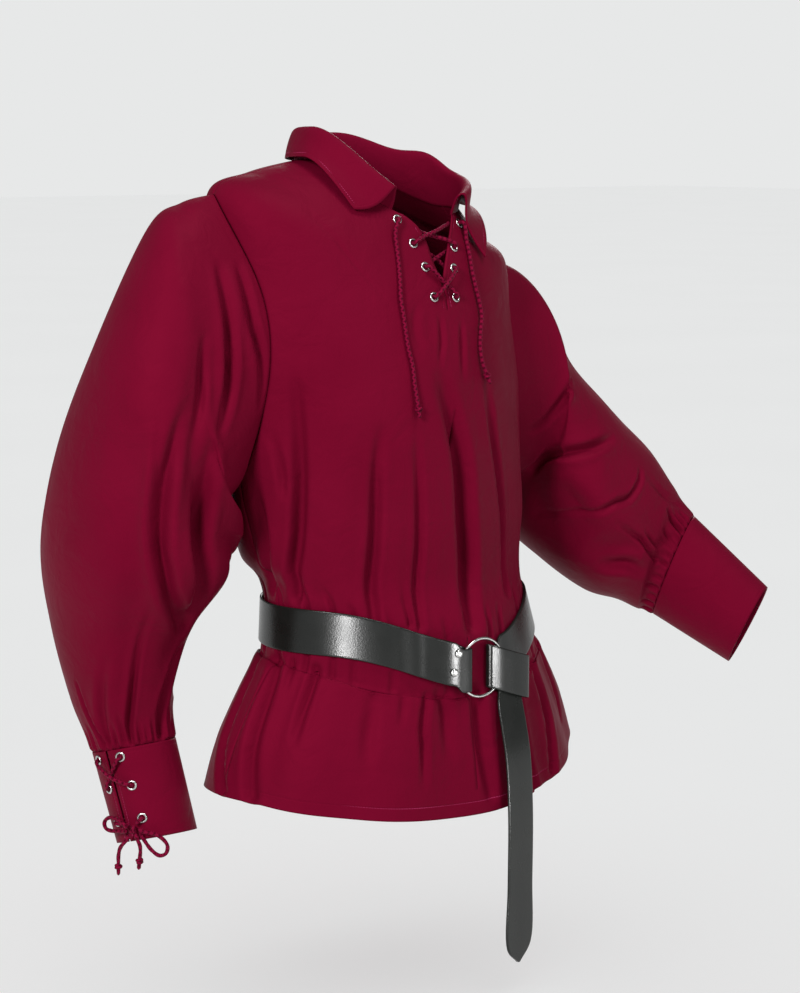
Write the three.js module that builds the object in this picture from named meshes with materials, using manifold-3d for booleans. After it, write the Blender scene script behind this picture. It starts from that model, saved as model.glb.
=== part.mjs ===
// A laced historical shirt-blouse with bishop sleeves, worn with a ring belt.
//
// Units are millimetres. +Z is up, the wearer faces -Y, and the wearer's right hand is on -X.
// The origin is the middle of the base of the neck, between the shoulders, where the wearer
// holds the garment up. The cloth keeps the hollow form that it has when it is worn.
//
// Every cloth piece is a wall of even thickness on a surface that a short table of rings gives.
// Angles round the body and the collar are 0 at the centre front, 90 at the wearer's left
// side, 180 at the centre back and -90 at the wearer's right side.

import * as THREE from 'three';
import { mergeVertices } from 'three/addons/utils/BufferGeometryUtils.js';
import Module from 'manifold-3d';

// ---------------------------------------------------------------- driving sizes

const CLOTH = 1.8; // thickness of the body and sleeve wall
const BAND = 2.0; // thickness of the collar and cuff wall, which are two layers
const SEAM = 0.4; // gap between two pieces at a seam

const BELT_FOOT = 3; // number of the body ring at the foot of the drawn-in waist
const UNDERARM = 7; // number of the body ring at the foot of the armhole
const SHOULDER = 10; // number of the body ring through the shoulder points
const NECK = 12; // number of the body ring at the neck seam
const ARMHOLE_DIP = { front: 25, back: 34 }; // degrees that the armhole cuts into each panel

const FRONT_COLUMNS = 24;
const BACK_COLUMNS = 14;
const ARMHOLE_ROWS = 13; // rows of quads along the armhole
const YOKE_ROWS = 4; // rows of quads over the shoulder
const SLEEVE_ROWS = 15;

const EYELET = { hole: 3.2, barrel: 3.7, flange: 5.6, height: 1.6 }; // radii, and flange top
const CLOTH_HOLE = EYELET.barrel + 0.4; // radius of the hole that takes an eyelet

const SLIT_X = 9; // the neck slit's middle, a little to the wearer's left
const SLIT_FOOT = -148; // height at which the neck slit ends
const SLIT_WIDTH = 1.2; // width of the slit where its edges meet

const STRAP = 3.2; // thickness of the belt leather
const STRAP_WIDTH = 48;
const STRAP_REST = 0.9; // gap between the shirt and a strap that lies on it
const BELT_SIDE_Z = -465; // height of the strap's upper edge at the sides and the back
const BELT_DIP = 45; // how much lower the strap hangs at the front
const BELT_LOW_ANGLE = 6; // angle round the body of the strap's lowest place
const RING_ANGLE = 3.9; // angle round the body of the belt ring's centre
const RING_RADIUS = 32; // from the ring's centre to the middle of its wire
const RING_WIRE = 1.6; // radius of the wire
const RING_OUT = 6; // from the shirt to the middle of the wire
const RING_Z = -536; // height of the belt ring's centre
const MM_PER_DEGREE = 2.85; // along the belt, near the centre front

const CUFF_SLIT = { right: 16, left: 290 }; // angle round the cuff of its laced slit
const CUFF_OPENING = 4; // degrees that the slit stands open

const LACE = 2.2; // radius of the round cord at the neck and the cuffs
const CUFF_SIGN = { right: 1, left: -1 }; // the left cuff is laced as a mirror image
const LACED_REACH = { right: 1, left: 0.62 }; // share of the cuff that its lace closes
const BOW_TURN = 15.4; // degrees from a cuff's slit to its bow's knot
const BOW_F = { right: 0.87, left: 0.88 }; // place of the bow's knot down the laced part of the cuff
const BOW_FACING = { right: -128, left: 33 }; // compass angle that the bow faces, from +X

const deg = THREE.MathUtils.degToRad;

// Body rings, from the hem up to the neck seam. right, left, front and back are half sizes
// from the centre (cx, cy); the z columns are the ring's heights at its four sides.
const bodyRings = [
  // name, centre, half sizes to the right, left, front and back, and heights at those sides
  ['hem', [12, -20], [234, 237, 158, 160], [-668, -645, -694, -692]],
  ['skirt', [13, -24], [219, 216, 145, 146], [-612, -594, -634, -618]],
  ['under the belt', [13, -30], [176, 179, 127, 124], [-538, -540, -574, -538]],
  ['belt foot', [13, -31], [169, 172, 124, 120], [-522, -524, -560, -522]],
  ['belt top', [12, -30], [166, 149, 124, 118], [-452, -454, -496, -454]],
  ['blouse', [4, -16], [176, 169, 128, 130], [-418, -420, -444, -420]],
  ['ribs', [2, -14], [184, 179, 130, 130], [-376, -382, -376, -370]],
  ['underarm', [0, -12], [190, 180, 130, 128], [-326, -344, -304, -310]],
  ['chest', [-2, -6], [194, 181, 128, 120], [-226, -252, -218, -220]],
  ['upper chest', [0, 2], [198, 175, 122, 110], [-118, -170, -146, -128]],
  ['shoulder', [0, 12], [203, 177, 116, 88], [-25, -103, -98, -48]],
  ['mid shoulder', [0, 6], [154, 134, 100, 82], [-2, -74, -72, -18]],
  ['neck seam', [2, -2], [94, 98, 84, 80], [11, -41, -52, 0]],
].map(([name, [cx, cy], [right, left, front, back], [zRight, zLeft, zFront, zBack]]) => (
  { name, cx, cy, right, left, front, back, zRight, zLeft, zFront, zBack }
));

// Collar rings, from the neck seam up the stand, over the fold and down the leaf. frontLeft and
// zFrontLeft are for the wearer's left half. endRight and endLeft are the angles from the centre
// front at which the collar ends, and lift raises it behind the wearer's left side.
const collarRings = [
  {
    ...bodyRings[NECK], frontLeft: bodyRings[NECK].front, zFrontLeft: bodyRings[NECK].zFront,
    endRight: 23, endLeft: 31, lift: 0,
  },
  {
    name: 'stand', cx: 3, cy: -6, right: 92, left: 97, front: 85, frontLeft: 85, back: 80,
    zRight: 26, zLeft: -24, zFront: -43, zFrontLeft: -43, zBack: 19, endRight: 24, endLeft: 31, lift: 7,
  },
  {
    name: 'fold inside', cx: 5, cy: -10, right: 93, left: 96, front: 86, frontLeft: 86, back: 84,
    zRight: 42, zLeft: -11, zFront: -37, zFrontLeft: -37, zBack: 36, endRight: 26, endLeft: 31, lift: 16,
  },
  {
    name: 'fold outside', cx: 5, cy: -10, right: 98, left: 101, front: 92, frontLeft: 92, back: 91,
    zRight: 41, zLeft: -12, zFront: -40, zFrontLeft: -40, zBack: 34, endRight: 29, endLeft: 33, lift: 16,
  },
  {
    name: 'leaf', cx: 4, cy: -12, right: 104, left: 98, front: 92, frontLeft: 93, back: 96,
    zRight: 27, zLeft: -31, zFront: -77, zFrontLeft: -80, zBack: 20, endRight: 38, endLeft: 38, lift: 12,
  },
  {
    name: 'leaf edge', cx: 2, cy: -20, right: 111, left: 114, front: 89, frontLeft: 106, back: 100,
    zRight: 13, zLeft: -44, zFront: -125, zFrontLeft: -146, zBack: 6, endRight: 51, endLeft: 44, lift: 6,
  },
];
const COLLAR_LIFT = { angle: 112, width: 20 }; // where the collar is raised, in degrees

// Sleeve rings from the armhole down to the cuff's end. Each goes round from its outer point
// through its front, inner and back sides; front and back are half depths across that line.
const sleeveRings = {
  right: [
    { name: 'head', ox: -235, oy: 26, oz: -34, ix: -207, iy: -3, iz: -334, front: 74, back: 62 },
    { name: 'cap', ox: -272, oy: 32, oz: -60, ix: -207, iy: 6, iz: -340, front: 88, back: 94 },
    { name: 'upper arm', ox: -328, oy: 44, oz: -180, ix: -190, iy: 16, iz: -346, front: 104, back: 110 },
    { name: 'above elbow', ox: -362, oy: 56, oz: -296, ix: -180, iy: 44, iz: -380, front: 116, back: 116 },
    { name: 'elbow', ox: -374, oy: 62, oz: -400, ix: -174, iy: 62, iz: -416, front: 120, back: 118 },
    { name: 'forearm', ox: -362, oy: 70, oz: -485, ix: -211, iy: 70, iz: -480, front: 90, back: 90 },
    { name: 'gather', ox: -347, oy: 64, oz: -562, ix: -238, iy: 64, iz: -556, front: 64, back: 64 },
    { name: 'cuff seam', ox: -332, oy: 52, oz: -616, ix: -242, iy: 52, iz: -614, front: 47, back: 47 },
    { name: 'cuff end', ox: -321, oy: 24, oz: -712, ix: -233, iy: 24, iz: -712, front: 43, back: 43 },
  ],
  left: [
    { name: 'head', ox: 206, oy: 12, oz: -117, ix: 199, iy: -6, iz: -354, front: 66, back: 70 },
    { name: 'cap', ox: 229, oy: 8, oz: -152, ix: 206, iy: 4, iz: -366, front: 80, back: 84 },
    { name: 'upper arm', ox: 272, oy: -4, oz: -214, ix: 222, iy: 32, iz: -418, front: 88, back: 100 },
    { name: 'above elbow', ox: 317, oy: -31, oz: -270, ix: 272, iy: 24, iz: -464, front: 96, back: 104 },
    { name: 'elbow', ox: 346, oy: -44, oz: -305, ix: 322, iy: 2, iz: -503, front: 94, back: 100 },
    { name: 'forearm', ox: 375, oy: -58, oz: -338, ix: 352, iy: -27, iz: -516, front: 82, back: 86 },
    { name: 'gather', ox: 394, oy: -77, oz: -378, ix: 368, iy: -46, iz: -527, front: 62, back: 64 },
    { name: 'cuff seam', ox: 410, oy: -98, oz: -414, ix: 381, iy: -62, iz: -534, front: 38, back: 38 },
    { name: 'cuff end', ox: 458, oy: -174, oz: -495, ix: 431, iy: -140, iz: -586, front: 35, back: 35 },
  ],
};
const CUFF_SEAM = 8; // number of the sleeve ring at the cuff seam
const CUFF_END = 9; // number of the sleeve ring at the cuff's open end

// Outline of the open neck slit, as distances from SLIT_X to each side at a height z.
const slitOutline = [
  { z: -30, right: 58, left: 58 },
  { z: -46, right: 34, left: 47 },
  { z: -60, right: 17, left: 36 },
  { z: -76, right: 10, left: 24 },
  { z: -98, right: 7, left: 11 },
  { z: -121, right: SLIT_WIDTH / 2, left: SLIT_WIDTH / 2 },
  { z: SLIT_FOOT, right: SLIT_WIDTH / 2, left: SLIT_WIDTH / 2 },
];

// Eyelets of the neck slit in pairs, from the collar down, as body angle and ring number.
const neckEyelets = [
  { rightAngle: -17, rightT: 11.6, leftAngle: 32, leftT: 11.5 },
  { rightAngle: -6.5, rightT: 10.68, leftAngle: 13.7, leftT: 10.48 },
  { rightAngle: -3, rightT: 9.86, leftAngle: 9.6, leftT: 9.8 },
  { rightAngle: -2.2, rightT: 9.19, leftAngle: 7.6, leftT: 9.17 },
];

// Eyelets of a cuff slit in pairs: degrees from the slit to each one, and place down the cuff.
const cuffEyelets = [
  { a: -20, b: 20, f: 0.09 },
  { a: -13, b: 26, f: 0.41 },
  { a: -14, b: 29, f: 0.77 },
];

// Large folds of the body, from their upper end to their lower end: angles, ring numbers, half
// width in degrees, and depth. A fold is a soft trough.
const bodyFolds = [
  { name: 'under the slit', angle: -1.3, low: 0.4, from: 7.9, to: 4.1, width: 7, depth: 6 },
  { name: 'right of it', angle: -15, low: -18, from: 7.2, to: 4.1, width: 6, depth: 4 },
  { name: 'right breast', angle: -28, low: -37, from: 7.5, to: 4.1, width: 7, depth: 5 },
  { name: 'right armhole', angle: -56, low: -67, from: 8.1, to: 4.1, width: 8, depth: 7 },
  { name: 'right side', angle: -75, low: -93, from: 7.3, to: 4.1, width: 8, depth: 6 },
  { name: 'left breast', angle: 25, low: 38, from: 7.5, to: 4.1, width: 8, depth: 6 },
  { name: 'left armhole', angle: 54, low: 64, from: 8, to: 4.1, width: 8, depth: 6 },
  { name: 'left side', angle: 80, low: 92, from: 6.9, to: 4.1, width: 8, depth: 5 },
  { name: 'left back', angle: 122, low: 118, from: 7.9, to: 4.1, width: 9, depth: 7 },
  { name: 'left blade', angle: 152, low: 146, from: 8.6, to: 4.1, width: 9, depth: 6 },
  { name: 'back', angle: 184, low: 178, from: 8, to: 4.1, width: 9, depth: 5 },
  { name: 'right blade', angle: 211, low: 214, from: 8.8, to: 4.1, width: 9, depth: 7 },
  { name: 'right back', angle: 243, low: 240, from: 7.6, to: 4.1, width: 9, depth: 6 },
  { name: 'skirt, right side', angle: -70, low: -74, from: 2.7, to: -0.6, width: 9, depth: 6 },
  { name: 'skirt, right front', angle: -40, low: -42, from: 2.7, to: -0.6, width: 9, depth: 5 },
  { name: 'skirt, front', angle: -12, low: -10, from: 2.7, to: -0.4, width: 9, depth: 4 },
  { name: 'skirt, left front', angle: 24, low: 28, from: 2.7, to: -0.8, width: 8, depth: 7 },
  { name: 'skirt, left', angle: 52, low: 58, from: 2.7, to: -0.8, width: 9, depth: 7 },
  { name: 'skirt, left back', angle: 120, low: 117, from: 2.7, to: -0.6, width: 10, depth: 7 },
  { name: 'skirt, back', angle: 165, low: 168, from: 2.7, to: -0.6, width: 10, depth: 6 },
  { name: 'skirt, right back', angle: 225, low: 230, from: 2.7, to: -0.6, width: 10, depth: 7 },
];

// Large folds of the sleeves in the same way, with angles round the sleeve.
const sleeveFolds = {
  right: [
    { name: 'inner lobe', angle: 134, low: 148, from: 0.05, to: 4.7, width: 21, depth: -24 },
    { name: 'underarm lobe', angle: 158, low: 140, from: 0.05, to: 2.2, width: 22, depth: -18 },
    { name: 'inner forearm', angle: 138, low: 142, from: 3.8, to: 7.2, width: 14, depth: 11 },
    { name: 'front', angle: 96, low: 102, from: 0.9, to: 6.6, width: 11, depth: 11 },
    { name: 'outer front', angle: 50, low: 62, from: 3.2, to: 7.9, width: 12, depth: 6 },
    { name: 'outer back', angle: 322, low: 318, from: 3, to: 7.9, width: 13, depth: 8 },
    { name: 'back', angle: 268, low: 272, from: 1.6, to: 7.8, width: 14, depth: 10 },
    { name: 'inner back', angle: 222, low: 228, from: 1.4, to: 7.2, width: 14, depth: 9 },
  ],
  left: [
    { name: 'crook', angle: 150, low: 118, from: 1.1, to: 4.4, width: 18, depth: 13 },
    { name: 'forearm', angle: 128, low: 92, from: 2.8, to: 6.6, width: 14, depth: 9 },
    { name: 'cuff', angle: 60, low: 66, from: 4.2, to: 7.9, width: 14, depth: 5 },
    { name: 'outer back', angle: 312, low: 306, from: 2.4, to: 7.8, width: 14, depth: 8 },
    { name: 'inner back', angle: 236, low: 246, from: 1.4, to: 7.6, width: 16, depth: 10 },
  ],
};

// The laced part of the neck lace, from behind the wearer's right upper eyelet to behind the
// left one.
const neckLace = [
  [-20, -78, -57], [-12, -81.5, -61], [-4, -86.5, -66], [9.5, -90, -70.5], [33, -97.3, -77.5],
  [37.6, -99.9, -81], [37.3, -95, -84], [35.5, -90.5, -86.5], [12, -96.5, -95],
  [-9.5, -100, -104.5], [-10.6, -105.3, -103.3], [-10, -110.3, -102], [9.3, -115.9, -121],
  [22.6, -120.9, -134.4], [23.3, -116, -136.6], [21.6, -110.5, -138.2], [8, -109, -139],
  [-5.8, -111, -137], [-7.5, -116.4, -135.1], [-6.4, -121.3, -133], [9.6, -121.2, -119],
  [29.4, -110, -105.2], [29.8, -104.7, -106.1], [28.2, -99.7, -107.4], [11, -91.4, -92.6],
  [-18.4, -90.6, -80.8], [-19.6, -95.7, -78.4], [-18.4, -100.3, -76.2], [-4.5, -97.6, -70.6],
  [10, -96.2, -66.4], [35, -83.5, -61], [44.5, -76.8, -60], [50, -71.5, -58.5],
];

// Free ends of the neck lace. Each comes from behind through its upper eyelet and hangs.
const neckEnds = {
  right: [
    [-31.4, -77.6, -56], [-32, -83.8, -53.1], [-32.8, -89, -51.3], [-36, -92.3, -54.2],
    [-40.5, -93.6, -60.5], [-43, -95.6, -69.5], [-44, -98.6, -79.5], [-46, -104.5, -96.5],
    [-50, -112.3, -119], [-53, -117.4, -136], [-52.4, -120.7, -151.5], [-51.8, -125.5, -176],
    [-50.8, -128.4, -190], [-48.8, -130.4, -201], [-48, -132.4, -212], [-48.2, -134.4, -224],
    [-47.5, -136.6, -236], [-47, -138.6, -247],
  ],
  left: [
    [58.2, -69.5, -62.4], [61, -75.3, -59.2], [63, -79.7, -57.2], [63.4, -83.4, -60.2],
    [62.6, -86.2, -67], [61, -89, -75.5], [57.5, -99.2, -94], [55.5, -106.2, -111],
    [56, -111.6, -128], [58, -116, -145], [58, -119.2, -158], [53.5, -123, -172],
    [49.5, -126.8, -186], [48.6, -129.2, -198], [50, -131, -209], [53, -132.6, -218],
  ],
};

// The laced part of a cuff lace, from the bow's knot and back to it: degrees from the slit,
// place down the cuff, and mm out from the cloth.
const cuffLace = [
  { turn: 19.5, f: 0.828, out: 4.3 },
  { turn: 23, f: 0.8, out: 4.8 },
  { turn: 26.8, f: 0.783, out: 4.7 },
  { turn: 29, f: 0.77, out: -0.5 },
  { turn: 27.5, f: 0.757, out: -5.8 },
  { turn: 8, f: 0.59, out: -5 },
  { turn: -11.5, f: 0.425, out: -5.8 },
  { turn: -13, f: 0.41, out: -0.5 },
  { turn: -11.5, f: 0.398, out: 4.5 },
  { turn: 0, f: 0.27, out: 3 },
  { turn: 18, f: 0.108, out: 4.5 },
  { turn: 20, f: 0.09, out: -0.5 },
  { turn: 18, f: 0.09, out: -5.8 },
  { turn: 0, f: 0.085, out: -5 },
  { turn: -18, f: 0.09, out: -5.8 },
  { turn: -20, f: 0.09, out: -0.5 },
  { turn: -18, f: 0.108, out: 4.6 },
  { turn: 3, f: 0.27, out: 8.2 },
  { turn: 24, f: 0.398, out: 4.7 },
  { turn: 26, f: 0.41, out: -0.5 },
  { turn: 24.5, f: 0.425, out: -5.8 },
  { turn: 7, f: 0.59, out: -10.3 },
  { turn: -12.5, f: 0.755, out: -5.8 },
  { turn: -14, f: 0.77, out: -0.5 },
  { turn: -12.5, f: 0.78, out: 4.6 },
  { turn: -5, f: 0.793, out: 3.4 },
  { turn: 3, f: 0.808, out: 3 },
  { turn: 9.4, f: 0.826, out: 2.9 },
];

// Bow of a cuff lace. across, down and out are mm from the middle of its knot. across is level,
// to the right of somebody who faces the bow of the right cuff, and the left one mirrors it.
const bowRoutes = {
  loop_a: [
    { across: 5.4, down: -1.6, out: 2.8 },
    { across: 12.4, down: 1.6, out: 3.8 },
    { across: 21.4, down: 3.4, out: 4 },
    { across: 31, down: 8.6, out: 3.8 },
    { across: 36.6, down: 17, out: 3.4 },
    { across: 34.6, down: 25.4, out: 3.2 },
    { across: 28, down: 27.6, out: 3 },
    { across: 19.8, down: 21.8, out: 2.8 },
    { across: 11.5, down: 10.5, out: 1.6 },
    { across: 6.9, down: 2.4, out: -0.6 },
  ],
  end_a: [
    { across: 2.6, down: 3.3, out: 2.4 },
    { across: 4.4, down: 8.4, out: 4.6 },
    { across: 7.4, down: 15.6, out: 5 },
    { across: 7.9, down: 22, out: 4.5 },
    { across: 7.2, down: 29, out: 4.2 },
  ],
  end_b: [
    { across: -2.4, down: 4.1, out: 1.6 },
    { across: -5.4, down: 8.4, out: 3 },
    { across: -9.6, down: 13.6, out: 3.4 },
    { across: -14, down: 20, out: 1 },
    { across: -15.8, down: 28, out: 0.6 },
    { across: -16, down: 36, out: 0.6 },
  ],
};

// Small loop of each bow, in the same way. The right one follows the round cuff out of sight,
// and the left one lies over the lace.
const smallLoop = {
  right: [
    { across: -5.9, down: -1.9, out: 2 },
    { across: -11, down: -6.2, out: -1.6 },
    { across: -18.2, down: -8.6, out: -9 },
    { across: -25, down: -9, out: -15.5 },
    { across: -30, down: -6.5, out: -18.5 },
    { across: -32.4, down: -1.5, out: -19.5 },
    { across: -30.6, down: 3.6, out: -18 },
    { across: -25, down: 5.2, out: -14.6 },
    { across: -17, down: 4.6, out: -10.8 },
    { across: -10.5, down: 4.2, out: -6.5 },
    { across: -6.6, down: 2.9, out: -2.6 },
  ],
  left: [
    { across: -5.9, down: -1.9, out: 2 },
    { across: -11, down: -5.4, out: 3.6 },
    { across: -18.2, down: -7.6, out: 4 },
    { across: -25, down: -7.2, out: 4 },
    { across: -30, down: -4, out: 3.8 },
    { across: -31.6, down: 1.8, out: 3.6 },
    { across: -29, down: 6.8, out: 3.6 },
    { across: -23, down: 8.8, out: 3.8 },
    { across: -16.5, down: 7.6, out: 3.8 },
    { across: -10.8, down: 4.8, out: 3.9 },
    { across: -6.4, down: 2.6, out: 3.6 },
  ],
};

// ---------------------------------------------------------------- surfaces

// Smooth value of one table column between its rows, at row number t.
function column(rows, key, t) {
  const last = rows.length - 1;
  const i = Math.min(Math.max(Math.floor(t), 0), last - 1);
  const f = t - i;
  const at = (n) => rows[Math.min(Math.max(n, 0), last)][key];
  return catmull(at(i - 1), at(i), at(i + 1), at(i + 2), f);
}

function catmull(a, b, c, d, f) {
  const slope0 = (c - a) / 2;
  const slope1 = (d - b) / 2;
  return (2 * f ** 3 - 3 * f ** 2 + 1) * b + (f ** 3 - 2 * f ** 2 + f) * slope0
    + (3 * f ** 2 - 2 * f ** 3) * c + (f ** 3 - f ** 2) * slope1;
}

// Point of a table's ring number t at an angle in degrees. A key with Left at its end is used
// for the left front quarter where the table has it.
function ringPoint(rows, angle, t) {
  const s = Math.sin(deg(angle));
  const c = Math.cos(deg(angle));
  const value = (key) => column(rows, key, t);
  const frontKey = (key) => (s > 0 && `${key}Left` in rows[0] ? `${key}Left` : key);
  const across = s < 0 ? value('right') : value('left');
  const deep = c > 0 ? value(frontKey('front')) : value('back');
  const side = s < 0 ? value('zRight') : value('zLeft');
  const middle = c > 0 ? value(frontKey('zFront')) : value('zBack');
  return new THREE.Vector3(
    value('cx') + across * s,
    value('cy') - deep * c,
    side * s * s + middle * c * c,
  );
}

// Outward unit normal of surface(a, t), from two short steps on it.
function normalOf(surface, a, t, flip = 1) {
  const stepA = 0.5;
  const stepT = 0.02;
  const along = surface(a + stepA, t).sub(surface(a - stepA, t));
  const up = surface(a, t + stepT).sub(surface(a, t - stepT));
  return along.cross(up).normalize().multiplyScalar(flip);
}

// How deep the folds of a table are at an angle and a ring number.
function foldDepth(folds, angle, t) {
  let sum = 0;
  for (const fold of folds) {
    const along = (fold.from - t) / (fold.from - fold.to);
    if (along <= 0 || along >= 1) continue;
    const centre = fold.angle + (fold.low - fold.angle) * along;
    const away = ((((angle - centre) % 360) + 540) % 360) - 180;
    sum += fold.depth * Math.sin(Math.PI * along) ** 0.7 * Math.exp(-((away / fold.width) ** 2));
  }
  return sum;
}

function bodySurface(angle, t) {
  const depth = foldDepth(bodyFolds, angle, t);
  const outward = new THREE.Vector3(Math.sin(deg(angle)), -Math.cos(deg(angle)), 0);
  return ringPoint(bodyRings, angle, t).addScaledVector(outward, -depth);
}

// Angles round the collar run from endLeft, past the back, to 360 less endRight.
function collarSurface(angle, t) {
  const away = (angle - COLLAR_LIFT.angle) / COLLAR_LIFT.width;
  const point = ringPoint(collarRings, angle, t);
  point.z += column(collarRings, 'lift', t) * Math.exp(-away * away);
  return point;
}

// Angle at which a panel ends at ring number t: the side seam, armhole or shoulder seam.
function panelEdge(panel, t) {
  if (t <= UNDERARM || t >= SHOULDER) return 90;
  const up = (t - UNDERARM) / (SHOULDER - UNDERARM);
  const dip = ARMHOLE_DIP[panel] * Math.sin(Math.PI * up) ** 0.8;
  return panel === 'front' ? 90 - dip : 90 + dip;
}

// Point of the body wall, moved out along its normal.
function bodyPoint(angle, t, out = 0) {
  return bodySurface(angle, t).addScaledVector(normalOf(bodySurface, angle, t), out);
}

// Ring number of the armhole, down from 0 at the shoulder point to 1 at the underarm.
function armholeRing(down) {
  return SHOULDER - ((SHOULDER - UNDERARM) * (1 - Math.cos(Math.PI * down))) / 2;
}

// Point of the armhole at an angle phi round the sleeve: 0 at the shoulder point, 90 at the
// front, 180 at the underarm, 270 at the back.
function armholePoint(side, phi, out = 0) {
  const sign = side === 'right' ? -1 : 1;
  const turn = ((phi % 360) + 360) % 360;
  const panel = turn <= 180 ? 'front' : 'back';
  const down = (turn <= 180 ? turn : 360 - turn) / 180;
  const t = armholeRing(down);
  const edge = panelEdge(panel, t) * sign;
  const middle = bodySurface(90 * sign, (UNDERARM + SHOULDER) / 2);
  const point = bodyPoint(edge, t, out);
  return point.addScaledVector(middle.sub(point).normalize(), 1.5 * SEAM);
}

// Point of one sleeve ring of the table.
function sleeveRingPoint(side, row, phi) {
  const rows = sleeveRings[side];
  const centre = (n) => {
    const r = rows[Math.min(Math.max(n, 0), rows.length - 1)];
    return new THREE.Vector3(r.ox + r.ix, r.oy + r.iy, r.oz + r.iz).multiplyScalar(0.5);
  };
  const r = rows[row];
  const half = new THREE.Vector3(r.ox - r.ix, r.oy - r.iy, r.oz - r.iz).multiplyScalar(0.5);
  const along = centre(row + 1).sub(centre(row - 1));
  const forward = along.cross(half).normalize().multiplyScalar(side === 'right' ? -1 : 1);
  const s = Math.sin(deg(phi));
  return centre(row)
    .addScaledVector(half, Math.cos(deg(phi)))
    .addScaledVector(forward, s * (s > 0 ? r.front : r.back));
}

// Sleeve and cuff surface without folds: t is 0 at the armhole, CUFF_SEAM at that seam, and
// CUFF_END at the cuff's open end. The cuff is straight between its two rings.
function plainSleeve(side, phi, t) {
  const last = sleeveRings[side].length;
  const ring = (n) => {
    const k = Math.min(Math.max(n, 0), last);
    return k === 0 ? armholePoint(side, phi) : sleeveRingPoint(side, k - 1, phi);
  };
  if (t >= CUFF_SEAM) return ring(CUFF_SEAM).lerp(ring(CUFF_END), t - CUFF_SEAM);
  const i = Math.min(Math.max(Math.floor(t), 0), last - 1);
  const around = [ring(i - 1), ring(i), ring(i + 1), ring(i + 2)];
  const axis = (k) => catmull(...around.map((p) => p.getComponent(k)), t - i);
  return new THREE.Vector3(axis(0), axis(1), axis(2));
}

function sleeveSurface(side, phi, t) {
  const point = plainSleeve(side, phi, t);
  const depth = foldDepth(sleeveFolds[side], phi, t);
  if (depth === 0) return point;
  const inward = plainSleeve(side, phi + 180, t).sub(point).normalize();
  return point.addScaledVector(inward, depth);
}

// ---------------------------------------------------------------- solids

// A closed wall from a grid of outer points and a grid of inner points. With wrap, the last
// column joins the first.
function wall(outer, inner, wrap = false) {
  const rows = outer.length;
  const columns = outer[0].length;
  const points = [...outer.flat(), ...inner.flat()];
  const out = (r, c) => r * columns + (c % columns);
  const into = (r, c) => rows * columns + out(r, c);
  const faces = [];
  const quad = (a, b, c, d) => faces.push(a, b, c, a, c, d);
  const spans = wrap ? columns : columns - 1;
  for (let r = 0; r < rows - 1; r++) {
    for (let c = 0; c < spans; c++) {
      quad(out(r, c), out(r, c + 1), out(r + 1, c + 1), out(r + 1, c));
      quad(into(r, c), into(r + 1, c), into(r + 1, c + 1), into(r, c + 1));
    }
  }
  for (let c = 0; c < spans; c++) {
    quad(out(0, c + 1), out(0, c), into(0, c), into(0, c + 1));
    quad(out(rows - 1, c), out(rows - 1, c + 1), into(rows - 1, c + 1), into(rows - 1, c));
  }
  if (!wrap) {
    for (let r = 0; r < rows - 1; r++) {
      quad(out(r, 0), out(r + 1, 0), into(r + 1, 0), into(r, 0));
      const last = columns - 1;
      quad(out(r + 1, last), out(r, last), into(r, last), into(r + 1, last));
    }
  }
  const geometry = new THREE.BufferGeometry();
  const numbers = points.flatMap((p) => [p.x, p.y, p.z]);
  geometry.setAttribute('position', new THREE.Float32BufferAttribute(numbers, 3));
  geometry.setIndex(faces);
  if (signedVolume(geometry) < 0) faces.reverse();
  geometry.setIndex(faces);
  return geometry;
}

function signedVolume(geometry) {
  const p = geometry.getAttribute('position');
  const index = geometry.getIndex().array;
  const corner = (k) => new THREE.Vector3().fromBufferAttribute(p, index[k]);
  let sum = 0;
  for (let k = 0; k < index.length; k += 3) sum += corner(k).dot(corner(k + 1).cross(corner(k + 2)));
  return sum / 6;
}

// Even steps between two numbers, with both of them.
function steps(from, to, count) {
  return Array.from({ length: count + 1 }, (_, i) => from + ((to - from) * i) / count);
}

const bodyRows = [
  ...steps(0, BELT_FOOT - 1, 4),
  ...steps(BELT_FOOT, BELT_FOOT + 1, 4),
  ...steps(BELT_FOOT + 1, UNDERARM, 6).slice(1),
  ...steps(1, 0, ARMHOLE_ROWS).map(armholeRing).slice(1),
  ...steps(SHOULDER, NECK, YOKE_ROWS).slice(1),
];

// Front or back panel between its side, armhole and shoulder edges.
function bodyPanel(panel, columns) {
  const middle = panel === 'front' ? 0 : 180;
  const grid = (out) => bodyRows.map((t) => {
    const reach = panel === 'front' ? panelEdge(panel, t) : 180 - panelEdge(panel, t);
    const width = column(bodyRings, 'right', t);
    const half = reach - THREE.MathUtils.radToDeg(SEAM / 2 / width);
    return steps(-half, half, columns).map((a) => bodyPoint(middle + a, t, out));
  });
  return wall(grid(0), grid(-CLOTH));
}

function sleeve(side) {
  const columns = 2 * ARMHOLE_ROWS;
  const surface = (phi, t) => sleeveSurface(side, phi, t);
  const flip = side === 'right' ? -1 : 1;
  const rows = steps(0, CUFF_SEAM, SLEEVE_ROWS);
  const turns = steps(0, 360, columns).slice(0, columns);
  const outer = rows.map((t) => turns.map((phi) => surface(phi, t)));
  const inner = rows.map((t) => turns.map((phi) => {
    if (t === 0) return armholePoint(side, phi, -CLOTH);
    return surface(phi, t).addScaledVector(normalOf(surface, phi, t, flip), -CLOTH);
  }));
  return wall(outer, inner, true);
}

// Point of the cuff, f from 0 at its seam to 1 at its open end, moved out along its normal.
function cuffPoint(side, phi, f, out = 0) {
  const surface = (a, t) => sleeveSurface(side, a, t);
  const flip = side === 'right' ? -1 : 1;
  const t = CUFF_SEAM + 0.03 + 0.95 * f;
  return surface(phi, CUFF_SEAM + f).addScaledVector(normalOf(surface, phi, t, flip), out);
}

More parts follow.
